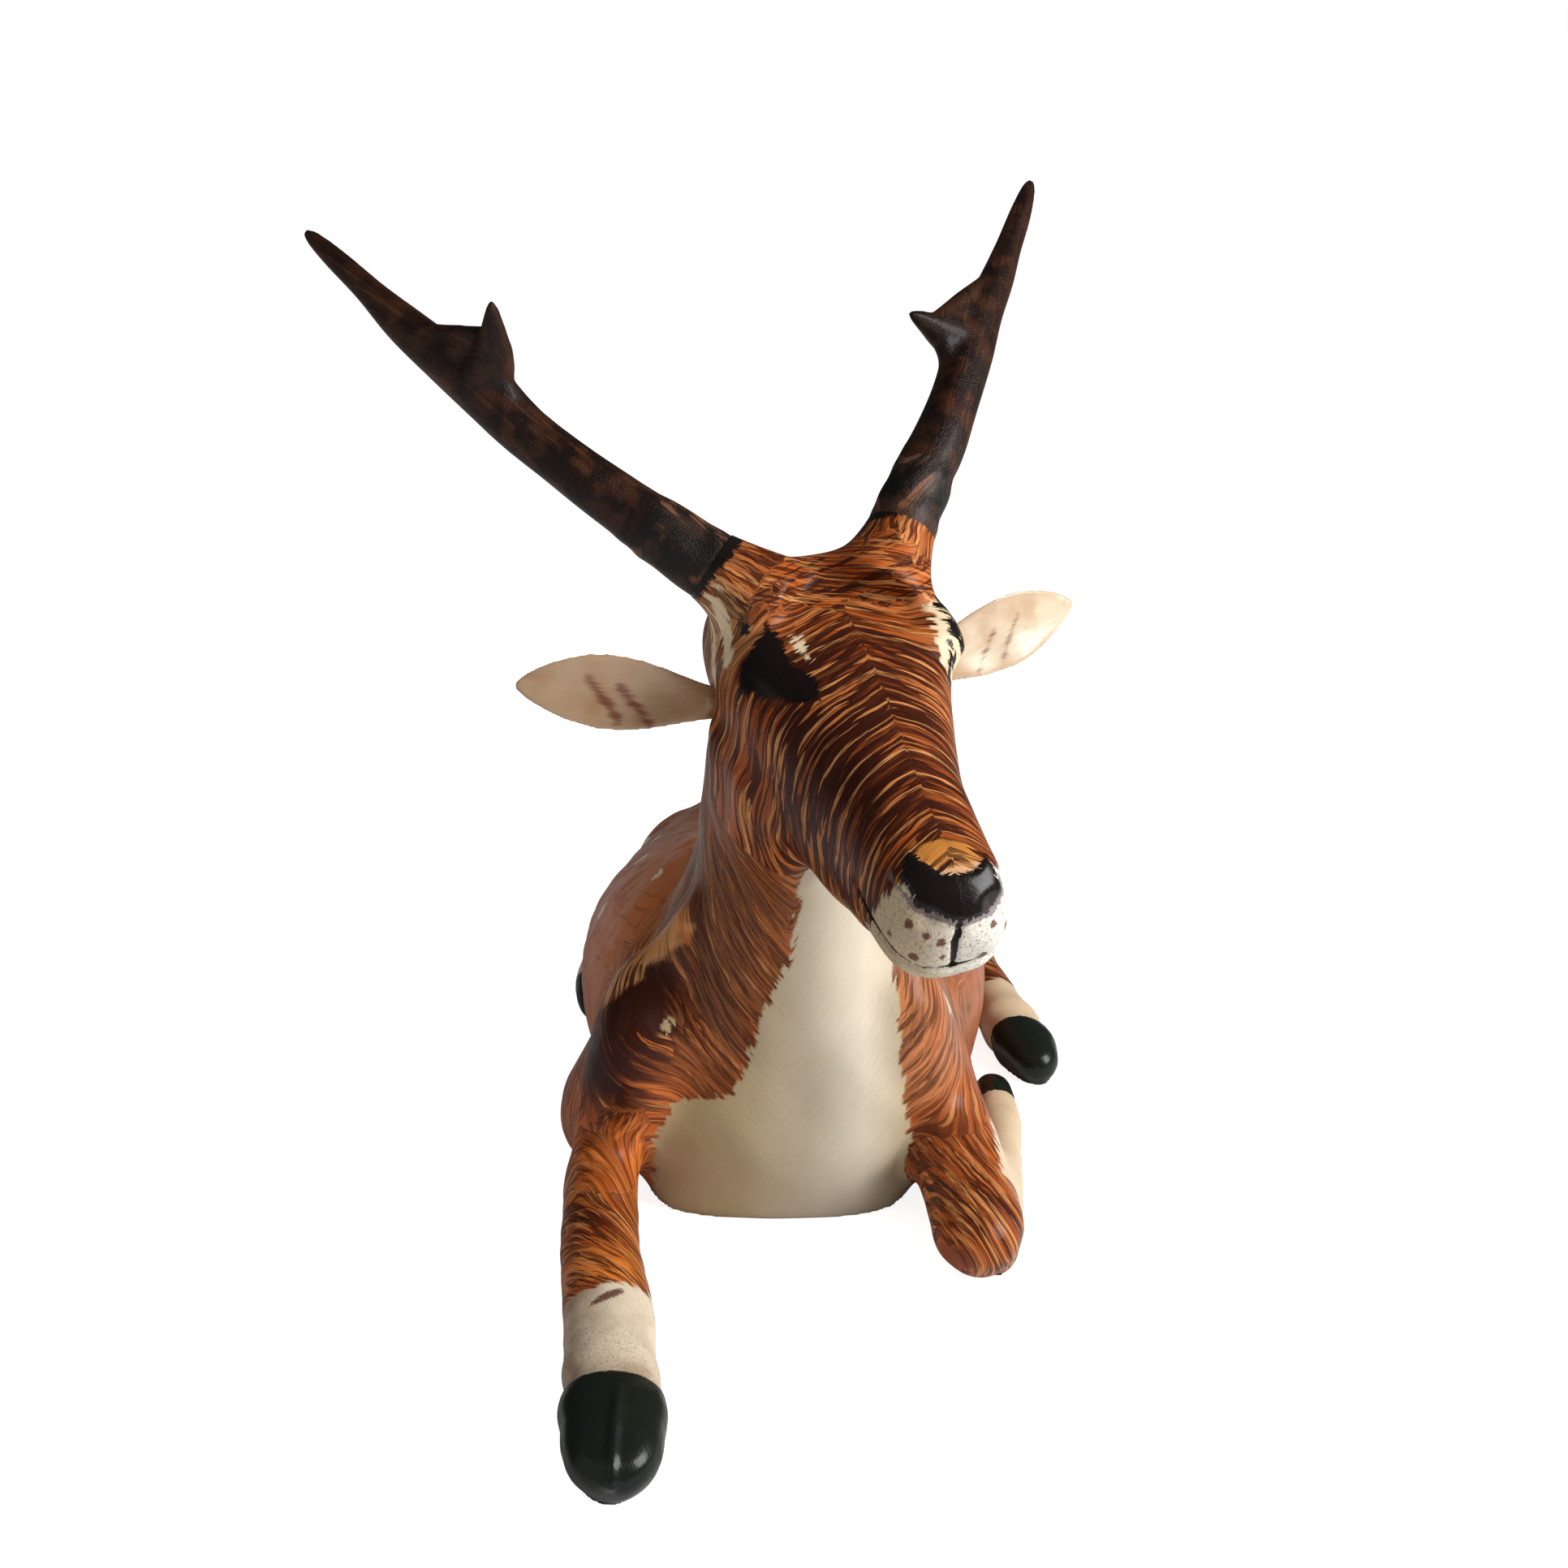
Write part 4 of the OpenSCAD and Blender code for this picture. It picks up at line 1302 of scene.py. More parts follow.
    def cream(self) -> np.ndarray:
        """The cream paint's tint, with painted shade on the breast, the muzzle and the sock."""
        x, y = self.points.T[:2]
        if self.piece == "head":
            f = self.head[:, 1]
            tint = smooth(40, 56, f)[:, None]
            # Painted shade: the muzzle's cream turns darker and browner on the stag's right side,
            # away from the key light
            side = smooth(3, -8, self.head[:, 0])[:, None]
            muzzle = rgb(220, 216, 206) * (1 - side) + rgb(188, 168, 138) * side
            return rgb(228, 204, 168) * (1 - tint) + muzzle * tint
        if self.piece in ("foreleg_right", "tail"):
            sock = self.piece == "foreleg_right"
            # Painted shade on the sock: browner down its outer side, away from the key light, and
            # towards the hoof, with a few random blotches
            shade_and_blotches = 0.6 * smooth(-26, -34, x + 0.6 * lumps(self.points, 4, 47))
            patchy = smooth(-0.2, 0.8, lumps(self.points, 6, 49))
            shade_and_blotches += 0.3 * smooth(-131, -138, y) + 0.2 * patchy
            shade_and_blotches = (sock * np.clip(shade_and_blotches, 0, 0.75))[:, None]
            return rgb(218, 202, 178) * (1 - shade_and_blotches) + rgb(132, 98, 66) * shade_and_blotches
        if self.piece in LEGS:
            return np.tile(rgb(212, 188, 156), (len(x), 1))
        # Painted shade over the breast: darkest on the stag's right, brightest left of its middle,
        # a little darker again at its left edge
        places = [-16, -8, 4, 14, 20]
        shaded_tints = np.array([rgb(170, 148, 112), rgb(176, 156, 122), rgb(178, 165, 144),
                          rgb(210, 199, 180), rgb(198, 182, 152)])
        colour = np.column_stack([np.interp(x, places, channel) for channel in shaded_tints.T])
        back = smooth(-64, -56, y)[:, None]
        return colour * (1 - back) + rgb(226, 206, 180) * back

    def ink(self) -> np.ndarray:
        """The black paint's own tint."""
        tint = rgb(26, 30, 24) if self.piece in LEGS else rgb(24, 18, 16)
        return np.tile(tint, (len(self.points), 1))

    def depth(self) -> np.ndarray:
        """How strongly the strokes stand out: most on the head, least on the flanks."""
        if self.piece == "head":
            return 1 - 0.3 * blob(self.head, (-16, 8, -6), (6, 14, 12))
        if self.piece in LEGS:
            return 0.84 - 0.7 * self.thigh()
        return np.clip(0.14 + 0.44 * smooth(-50, -66, self.points[:, 1]) + self.shoulder(), 0, 1)

    def thigh(self) -> np.ndarray:
        """1 where a hind leg runs into the body, 0 at its foot."""
        start = {"hind_leg_left": 14, "hind_leg_right": 44}.get(self.piece, 999)
        return smooth(start, start + 24, self.points[:, 1])

    def shoulder(self) -> np.ndarray:
        """The dark patch on the right shoulder."""
        patch = np.zeros(len(self.points))
        for centre, radii in (
            ((-31, -84, 33), (8, 9, 7)), ((-24, -83, 42), (6, 8, 8)), ((-35, -76, 37), (6, 8, 7)),
        ):
            patch = np.maximum(patch, blob(self.points, centre, radii))
        return patch

    def worn(self) -> np.ndarray:
        """How much the cream paint is crackled: most on the muzzle; on the sock also more down its
        outer side and towards the hoof, as painted shade.
        """
        base = 0.1 if self.piece == "head" else 0.06
        if self.piece == "foreleg_right":
            # Painted shade on the sock: more speckled brown on its outer side and towards the hoof
            left = smooth(-27, -33, self.points[:, 0])
            return 0.2 + 0.35 * left + 0.4 * smooth(-124, -134, self.points[:, 1])
        return base + 0.6 * smooth(54, 60, self.head[:, 1]) * (self.piece == "head")

    def details(self) -> np.ndarray:
        """The thin lines, the muzzle's dots and the nose's rim."""
        count = len(self.points)
        if self.piece != "head":
            smudge = np.full(count, NOWHERE)
            if self.piece == "foreleg_right":
                smudge = 0.9 - stroke(self.points, (-31, -125, 12.6), (-25, -121, 12.8))
                lower = 0.6 - stroke(self.points, (-31, -123, 12.6), (-28.5, -131, 12.6))
                smudge = np.maximum(smudge, lower)
            return np.column_stack([np.full(count, -NOWHERE), smudge, np.full(count, NOWHERE)])
        line = np.minimum(self.along(self.mouth), self.along(self.philtrum))
        line = np.where(self.head[:, 1] > 56, line, -NOWHERE)
        dots = np.full(count, NOWHERE)
        for *place, size in self.muzzle_dots:
            dots = np.maximum(dots, size - self.off(place, place))
        nose = np.where(self.head[:, 2] < -3.2, self.nose(), NOWHERE)
        return np.column_stack([line, dots, nose])

    def orange(self) -> np.ndarray:
        """How far inside the orange dab over the nose each point lies."""
        if self.piece != "head":
            return np.full(len(self.points), NOWHERE)
        dab = 1.6 - 0.8 * self.off((-1.9, 60.6, -1), (2.4, 62.2, -1))
        return np.where(self.head[:, 2] > -6, dab, NOWHERE)

    def paint(self, mesh: bpy.types.Mesh) -> None:
        """Stores everything on the mesh.

        Args:
            mesh: the block's mesh, with the same vertices as the points.
        """
        if self.piece == "head":
            flow, cross = self.head_flow()
        elif self.piece in LEGS:
            flow, cross = self.leg_flow(self.piece)
        else:
            flow, cross = self.body_flow()
        marks = np.column_stack([self.pale(), self.black(), self.orange()])
        for name, values in (
            ("flow", flow), ("cross", cross), ("brushwork", self.density()), ("marks", marks),
            ("details", self.details()), ("ground", self.ground()), ("cream", self.cream()),
            ("ink", self.ink()), ("worn", self.worn()), ("depth", self.depth()),
        ):
            give(mesh, name, values)


# ---- The wooden blocks --------------------------------------------------------------


def rod(at: tuple, way: tuple, radius: float, start: float, end: float) -> bpy.types.Mesh:
    """A round rod.

    Args:
        at: a place on its axis.
        way: its direction.
        radius: its radius.
        start: where it starts along the axis, from the place.
        end: where it ends.

    Returns:
        A closed mesh.
    """
    sides = 48
    turn = Vector((0, 0, 1)).rotation_difference(Vector(way)).to_matrix()
    points = []
    for height in (start, end):
        for k in range(sides):
            angle = 2 * math.pi * k / sides
            spoke = Vector((radius * math.cos(angle), radius * math.sin(angle), height))
            points.append(tuple(turn @ spoke + Vector(at)))
    faces = [(k, (k + 1) % sides, sides + (k + 1) % sides, sides + k) for k in range(sides)]
    faces += [tuple(range(sides)), tuple(range(sides, 2 * sides))]
    return plain_mesh(np.array(points), faces)


def strut(start: tuple, end: tuple, radius: float) -> bpy.types.Mesh:
    """A round rod between two places.

    Args:
        start: the middle of one end.
        end: the middle of the other.
        radius: its radius.

    Returns:
        A closed mesh.
    """
    way = np.array(end) - np.array(start)
    length = float(np.linalg.norm(way))
    return rod(start, tuple(way / length), radius, 0, length)


def added(mesh: bpy.types.Mesh, *others: bpy.types.Mesh) -> bpy.types.Mesh:
    """Puts several meshes together, without joining their skins.

    Args:
        mesh: the first mesh.
        others: the others.

    Returns:
        One new mesh.
    """
    bm = bmesh.new()
    for part in (mesh, *others):
        bm.from_mesh(part)
    result = bpy.data.meshes.new("added")
    bm.to_mesh(result)
    bm.free()
    return result


def joint_axis(name: str) -> tuple:
    """The direction of a joint in the frame."""
    return next(tuple(j["axis"]) for j in frame["joints"] if j["name"] == name)


def middle_of(name: str) -> np.ndarray:
    """The middle of a node's box, in millimetres."""
    low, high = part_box(name)
    return np.array((low + high) / 2) / MM


def antler_root(side: Side) -> tuple[np.ndarray, np.ndarray]:
    """The direction an antler lifts in, and the middle of its peg."""
    return np.array(joint_axis(f"antler_{side.word}_lift")), middle_of(f"antler_peg_{side.word}")


@dataclass
class Woodwork:
    """The figure's carved blocks: torso, neck, head, legs and tail."""

    pitch: float = 0.8
    glue: float = 0.05
    slip: float = 0.1
    leg_share: float = 1.2
    plug_radius: float = 1.7
    socket_radius: float = 1.42
    spot_face: float = 3.2
    seat_radius: float = 8.5
    # Both ends and the radius of rods that fill hollows of the skin: between cheek and neck,
    # at the roots of the legs, over the left eye and between the antlers
    fillers: tuple = (
        ((-6.4, -97, 96), (-6.4, -88, 78), 5.8),
        ((-3.0, -104, 91), (-3.6, -90, 73), 5.6),
        ((1.0, -108, 86), (0.5, -90, 68), 4.8),
        ((-31.5, -75.0, 19.0), (-31.2, -93.0, 8.8), 6.0),
        ((27.5, -67.0, 24.0), (31.5, -86.0, 12.6), 7.2),
        ((-24.0, -76.0, 40.0), (-12.5, -79.5, 61.0), 5.5),
        ((40.0, 27.0, 7.0), (33.0, 46.0, 13.0), 7.0),
        ((-39.0, 54.0, 7.0), (-31.0, 68.0, 12.0), 6.6),
        ((21.6, -90.5, 110.4), (24.6, -98.5, 106.2), 4.1),
        ((-4.5, -88.5, 114.2), (13.5, -84, 115.4), 5.4),
        ((-3.0, -83.0, 113.2), (13.0, -80, 114.4), 5.4),
    )
    blocks: dict[str, bpy.types.Mesh] = field(default_factory=dict)
    # Push, centre and radii of what is carved on both sides of the face, with x outwards:
    # the brow, the hollow of the cheek, the nose's wing, the nostril and the lip
    features = (
        (1.1, (14.5, 15, -2.5), (5, 8, 5)),
        (-0.15, (13, 30, -8), (5, 9, 6)),
        (0.55, (5.6, 62.5, -3.6), (2.6, 3.4, 2.4)),
        (-0.9, (4.1, 67.0, -5.2), (1.5, 1.5, 1.1)),
        (0.35, (4.2, 67.5, -9.6), (3.2, 3.5, 2.8)),
    )

    @property
    def dowels(self) -> list[str]:
        """The names of the glued dowels."""
        return [name for name in frame["nodes"] if "dowel" in name]

    def ear_socket(self, side: Side) -> tuple[np.ndarray, tuple]:
        """Where the ear's socket opens, and its direction."""
        way = np.array(joint_axis(f"ear_{side.word}_pull"))
        points = points_of(frame["nodes"][f"ear_{side.word}"].data)
        reach = points @ way
        tail = points[reach < reach.min() + 0.5].mean(0)
        return tail + 6.5 * way, tuple(way)

    def skin(self) -> bpy.types.Mesh:
        """Closes the blocks into one skin, softens it and carves the details."""
        names = ["torso", "neck", "head", "tail", *LEGS, *self.dowels]
        for side in Side:
            names += [f"antler{p}_{side.word}" for p in ("", "_sleeve", "_peg")]
        mesh = one_skin(added(joined_nodes(names), *self.plugs()), self.pitch)
        soften(mesh, self.passes(points_of(mesh)), floor=True)
        points = points_of(mesh)
        f = HEAD.local(points)[:, 1]
        front = (HEAD_SEAT.past(points) > -1) & (f > -14)
        hoof = (points[:, 1] < -112) & (points[:, 2] < 40)
        mesh = refine(mesh, front | hoof)
        points = points_of(mesh)
        f = HEAD.local(points)[:, 1]
        soften(mesh, 2.0 * ((f > -16) & (HEAD_SEAT.past(points) > -2) | (points[:, 1] < -110)))
        self.sculpt(mesh)
        return mesh

    def plugs(self) -> list[bpy.types.Mesh]:
        """Rods that fill the ears' sockets and the hollows of the skin."""
        plugs = []
        for side in Side:
            at, way = self.ear_socket(side)
            plugs.append(rod(tuple(at), way, self.plug_radius, -7.5, 0.3))
        return plugs + [strut(*filler) for filler in self.fillers]

    def passes(self, points: np.ndarray) -> np.ndarray:
        """How long each place is smoothed: least on the face, hooves and tail.

        Args:
            points: the skin's points.

        Returns:
            A number of passes for each point.
        """
        head = HEAD.local(points)
        on_head = smooth(-2, 2, HEAD_SEAT.past(points))
        on_neck = smooth(-6, 6, NECK_SEAT.past(points))
        on_leg = np.max([in_box(points, name, 2.0) for name in (*LEGS, "tail")], axis=0)
        shoulder = np.max([in_box(points, name, 2.0) for name in LEGS[:2]], axis=0)
        on_leg = on_leg * (1 - shoulder * smooth(-98, -86, points[:, 1]))
        for name, start in (("hind_leg_left", 12), ("hind_leg_right", 40)):
            root = in_box(points, name, 2.0) * smooth(start, start + 12, points[:, 1])
            on_leg = on_leg * (1 - root)
        rounds = 44 - 16 * on_neck + 30 * smooth(-60, -70, points[:, 1]) * (1 - on_neck)
        crown = smooth(14, 4, head[:, 1]) * smooth(-16, -8, head[:, 2])
        brow = blob(points, (24, -99, 106), (7, 10, 7))
        for side in Side:
            away = np.linalg.norm(points - middle_of(f"antler_peg_{side.word}"), axis=1)
            crown = crown * smooth(4, 11, away)
        crown = np.maximum(crown, np.clip(1.4 * brow, 0, 1))
        rounds = rounds * (1 - on_head) + (9 + 42 * crown) * on_head
        for side in Side:
            cheek = blob(head, (side.value * 15.5, 24, -14), (7, 15, 9))
            rounds = rounds + 60 * on_head * cheek
        jaw = blob(points, (-3, -97, 82), (12, 14, 12))
        rounds = rounds + 30 * np.clip(1.6 * jaw, 0, 1)
        rounds = rounds + 210 * blob(points, (-22, -84, 43), (12, 11, 11))
        return np.round(rounds * (1 - on_leg) + 8 * on_leg)

    def sculpt(self, mesh: bpy.types.Mesh) -> None:
        """Pushes the carved details in and out along the skin's normals."""
        points, normals = points_of(mesh), normals_of(mesh)
        head = HEAD.local(points)
        on_head = smooth(-1, 2, HEAD_SEAT.past(points)) * (head[:, 1] > -20)
        push = 0.22 * lumps(points, 22, 3) + 0.1 * lumps(points, 8, 5)
        push *= 1 - 0.6 * on_head
        brush = Brush("head", points, normals)
        face = np.zeros(len(points))
        for side in Side:
            for height, (out, forward, up), radii in self.features:
                face += height * blob(head, (side.value * out, forward, up), radii)
        face += 0.4 * smooth(-0.5, 0.6, brush.nose())
        face -= 0.55 * np.exp(-((brush.along(Brush.philtrum) / 0.45) ** 2))
        face -= 0.6 * np.exp(-((brush.along(Brush.mouth) / 0.5) ** 2)) * (head[:, 1] > 54)
        face -= 0.7 * smooth(-14.4, -16.5, head[:, 2]) * smooth(54, 60, head[:, 1])
        push += on_head * face
        push -= 1.3 * blob(points, (-20, -84, 45.5), (6, 6, 6))
        push -= 2.4 * blob(points, (-19, -74, 64), (7, 12, 9))
        for name, coronet in (("foreleg_right", -138.5), ("hind_leg_left", -20.0)):
            inside = in_box(points, name, 1.5)
            y = points[:, 1]
            push += inside * 0.2 * smooth(coronet + 0.5, coronet - 0.5, y)
            push -= inside * 0.5 * smooth(coronet - 2, coronet - 6, y)
            push -= inside * 0.3 * np.exp(-(((y - coronet - 2.5) / 2.2) ** 2))
            push += inside * 0.5 * np.exp(-(((y - coronet - 6.0) / 2.6) ** 2))
        ridge = np.exp(-(((points[:, 0] + 23.2) / 0.8) ** 2)) * smooth(-140, -144, points[:, 1])
        push += 0.55 * ridge * in_box(points, "foreleg_right", 1.0) * smooth(3, 6, points[:, 2])
        moved = points + push[:, None] * normals
        moved[:, 2] = np.where(points[:, 2] < GROUND, 0.0, np.maximum(moved[:, 2], 0.0))
        put_points(mesh, moved)

    def cut_apart(self) -> None:
        """Cuts the skin at the glue joints and bores the holes."""
        skin = self.skin()
        above = half_space(HEAD_SEAT.at, HEAD_SEAT.way)
        neck_up = half_space(NECK_SEAT.at, NECK_SEAT.way)
        head = carve(skin, above.copy(), Cut.WITHIN)
        rest = carve(skin, above, Cut.WITHOUT)
        neck = carve(rest, neck_up.copy(), Cut.WITHIN)
        torso = carve(rest, neck_up, Cut.WITHOUT)
        for name in (*LEGS, "tail"):
            share = welded(name, self.leg_share)
            self.blocks[name] = carve(torso, share.copy(), Cut.WITHIN)
            torso = carve(torso, share, Cut.WITHOUT)
        for side in Side:
            way = joint_axis(f"antler_{side.word}_lift")
            sleeve = frame["nodes"][f"antler_sleeve_{side.word}"].data
            reach = (points_of(sleeve) @ np.array(way)).min() - 0.15
            at = middle_of(f"antler_peg_{side.word}")
            at = at + (reach - at @ np.array(way)) * np.array(way)
            head = carve(head, rod(tuple(at), way, self.seat_radius, 0, 24), Cut.WITHOUT)
            head = largest_part(head)
            head = carve(head, welded(f"antler_peg_{side.word}", self.slip), Cut.WITHOUT)
            at, way = self.ear_socket(side)
            head = carve(head, rod(tuple(at), way, self.socket_radius, -7.2, 2), Cut.WITHOUT)
            head = carve(head, rod(tuple(at), way, self.spot_face, 0, 12), Cut.WITHOUT)
        self.blocks |= {"torso": torso, "neck": neck, "head": head}
        for name in self.dowels:
            low, high = (np.array(c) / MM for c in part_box(name))
            for block, mesh in self.blocks.items():
                points = points_of(mesh)
                near = ((points > low - 3) & (points < high + 3)).all(1)
                if near.any() and self.shares(block, name):
                    tool = welded(name, self.glue)
                    self.blocks[block] = carve(mesh, tool, Cut.WITHOUT)

    @staticmethod
    def shares(block: str, dowel: str) -> bool:
        """Whether a dowel enters a block."""
        owner = dowel.replace("_dowel", "")
        if owner == "neck":
            return block in ("torso", "neck")
        if owner == "head":
            return block in ("neck", "head")
        return block in ("torso", owner)

    def build(self, coat: bpy.types.Material) -> None:
        """Puts the painted blocks in the places of the frame's plain ones.

        Args:
            coat: the paint they all wear.
        """
        self.cut_apart()
        for name, mesh in self.blocks.items():
            mesh = largest_part(mesh)
            Brush(name, points_of(mesh), normals_of(mesh)).paint(mesh)
            coat_with(mesh, coat)
            obj = new_object(f"{name}_carved", mesh)
            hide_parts(name)
            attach(obj, "figure")
            log.info("%s: %d faces", obj.name, len(mesh.polygons))


# ---- Antlers, putty and ears --------------------------------------------------------

# Rods from the beam to the tine, with their radii
FORKS = {
    Side.RIGHT: (
        ((-52.0, -84.0, 149.8), (-43.2, -89.4, 150.8), 2.4),
        ((-56.5, -81.8, 153.0), (-43.0, -90.8, 152.4), 1.5),
        ((-41.5, -87, 141.0), (-42.4, -90.4, 150.6), 1.8),
        ((-39.0, -88, 139.4), (-42.9, -89.0, 147.4), 1.9),
    ),
    Side.LEFT: (
        ((33.6, -53.5, 156.4), (25.4, -63.0, 154.0), 2.3),
        ((37.0, -47.0, 162.6), (25.0, -63.4, 155.0), 1.5),
        ((28.6, -65.5, 144.8), (25.0, -63.6, 153.0), 1.7),
        ((27.8, -67.6, 142.6), (26.4, -62.6, 151.0), 1.7),
    ),
}


@dataclass
class Antler:
    """One antler and the putty round its root."""

    side: Side
    pitch: float = 0.36
    rounds: int = 16
    glue: float = 0.04
    root_radius: float = 5.5
    stem_radius: float = 4.7
    core_radius: float = 3.9
    bore_radius: float = 3.95
    clear_radius: float = 12.0

    @property
    def way(self) -> np.ndarray:
        """The direction it lifts in."""
        return np.array(joint_axis(f"antler_{self.side.word}_lift"))

    def web(self) -> list[bpy.types.Mesh]:
        """Rods that fill the fork of beam and tine out to a flat web."""
        return [strut(*fork) for fork in FORKS[self.side]]

    def flow(self, points: np.ndarray, centre: np.ndarray) -> np.ndarray:
        """Streaks that run from the root to the tips."""
        main = points[np.argmax((points - centre) @ self.way)] - centre
        main = main / np.linalg.norm(main)
        across = np.cross(main, (0, 1, 0))
        across /= np.linalg.norm(across)
        other = np.cross(main, across)
        away = points - centre
        u, v = away @ across, away @ other
        return np.column_stack([u * 1.5 + v * 1.1, away @ main, v])

    def build(self, horn: bpy.types.Material, putty: bpy.types.Material) -> None:
        """Shapes both pieces.

        Args:
            horn: the antler's paint.
            putty: the putty's paint.
        """
        word, body = self.side.word, f"antler_{self.side.word}_part"
        antler, sleeve, peg = f"antler_{word}", f"antler_sleeve_{word}", f"antler_peg_{word}"
        heights = points_of(frame["nodes"][sleeve].data) @ self.way
        low, high = heights.min(), heights.max()
        middle = middle_of(peg)
        seat = middle + (low - middle @ self.way) * self.way

        top = high - low + 0.3
        place, way = tuple(seat), tuple(self.way)
        root = rod(place, way, self.root_radius, -3, 0.4)
        stem = rod(place, way, self.stem_radius, 1, top + 2.6)
        solids = added(joined_nodes([antler, sleeve, peg]), root, stem, *self.web())
        mesh = one_skin(solids, self.pitch)
        reach = points_of(mesh) @ self.way - low
        soften(mesh, np.round(self.rounds + 26 * smooth(top + 8, top, reach)))
        points, normals = points_of(mesh), normals_of(mesh)
        reach = points @ self.way - low
        putty_share = smooth(0, 2.5, reach) * smooth(top, top - 2.5, reach)
        push = 0.2 * putty_share * lumps(points, 5, 21 + self.side.value)
        push += (1 - putty_share) * smooth(top, top + 3, reach) * 0.12 * lumps(points, 13, 12)
        put_points(mesh, points + push[:, None] * normals)

        beam = carve(mesh, rod(place, way, self.clear_radius, -40, top), Cut.WITHOUT)
        core = rod(place, way, self.core_radius, 0.15, top + 2)
        beam = carve(largest_part(beam), core, Cut.TOGETHER)
        beam = carve(beam, welded(peg, self.glue), Cut.WITHOUT)
        self.dress(beam, antler, horn, body, seat)
        ring = carve(mesh, rod(place, way, self.clear_radius, -0.13, top - 0.02), Cut.WITHIN)
        bore = rod(place, way, self.bore_radius, -2, top + 2)
        ring = carve(largest_part(ring), bore, Cut.WITHOUT)
        self.dress(largest_part(ring), sleeve, putty, body, seat)

    def dress(
        self, mesh: bpy.types.Mesh, node: str, coat: bpy.types.Material, body: str,
        seat: np.ndarray,
    ) -> None:
        """Paints a piece and puts it in its node's place.

        Args:
            mesh: the piece's shape.
            node: the node it stands for.
            coat: its paint.
            body: the body it rides on.
            seat: the place where the antler leaves the head.
        """
        points = points_of(mesh)
        away = np.linalg.norm(points - seat, axis=1)
        # Painted glow: antler faces that turn to the left or right are warmer, as light shining
        # through thin horn; the tips are warmer paint
        edge = np.abs(normals_of(mesh)[:, 0]) * 0.4
        if node.startswith("antler_sleeve"):
            along = (points - seat) @ self.way
            ends = smooth(3.5, 0.5, along) if self.side is Side.LEFT else 0 * along
            warm = 0.1 + 1.0 * ends
        else:
            warm = edge + 0.25 * smooth(30, 60, away)
        give(mesh, "flow", self.flow(points, seat))
        give(mesh, "warm", warm)
        coat_with(mesh, coat)
        obj = new_object(f"{node}_painted", mesh)
        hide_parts(node)
        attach(obj, body)
        log.info("%s: %d faces", obj.name, len(mesh.polygons))


@dataclass
class Ear:
    """One leaf of thin wood with a tenon."""

    side: Side
    pitch: float = 0.3
    rounds: int = 5
    cup: float = 1.3

    def build(self, coat: bpy.types.Material) -> None:
        """Shapes the ear.

        Args:
            coat: its paint.
        """
        node, body = f"ear_{self.side.word}", f"ear_{self.side.word}_part"
        way = np.array(joint_axis(f"ear_{self.side.word}_pull"))
        mesh = one_skin(joined_nodes([node]), self.pitch)
        soften(mesh, np.full(len(mesh.vertices), self.rounds))
        points = points_of(mesh)
        tail = points[(points @ way) < (points @ way).min() + 0.5].mean(0)
        away = points - tail
        along = away @ way
        flat = away - along[:, None] * way
        spread = np.linalg.svd(flat - flat.mean(0), full_matrices=False)[2]
        across, face = spread[0], spread[1]
        across = across * (1 if across[2] > 0 else -1)
        face = face * (1 if face[1] < 0 else -1)
        u = flat @ across
        leaf = smooth(7.5, 12, along)
        front = (flat @ face > 0.0).astype(float)
        lift = self.cup * (u / 6) ** 2 - 0.35 * front * np.exp(-((u / 3.4) ** 2))
        lift += 0.07 * lumps(points, 9, 31 + self.side.value)
        put_points(mesh, points + (leaf * lift)[:, None] * face)
        shares = np.interp(along, [8, 11, 18, 25, 31, 36, 38], [2.6, 3.6, 5.6, 6, 4.4, 2.2, 0.5])
        first = stroke(np.column_stack([along, u, 0 * u]), (16.5, -4.0, 0), (21.5, 1.2, 0))
        second = stroke(np.column_stack([along, u, 0 * u]), (21.5, -3.6, 0), (26.5, 2.2, 0))
        width = 0.6 if self.side is Side.RIGHT else 0.1
        streaks = np.where(front > 0, width - np.minimum(first, second), NOWHERE)
        give(mesh, "streaks", streaks)
        # Tan near the root; the right ear, away from the key light, is tan all over as painted
        # shade
        base = smooth(16, 8, along)
        tanned = (0.66 + 0.3 * base) if self.side is Side.RIGHT else 0.1 + 0.5 * base
        give(mesh, "tanned", tanned + 0 * along)
        give(mesh, "rim", smooth(0.75, 1.0, np.abs(u) / shares))
        give(mesh, "flow", np.column_stack([u, along, 0 * u]))
        coat_with(mesh, coat, 60)
        obj = new_object(f"{node}_leaf", mesh)
        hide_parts(node)
        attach(obj, body)
        log.info("%s: %d faces", obj.name, len(mesh.polygons))


# ---- The picture --------------------------------------------------------------------


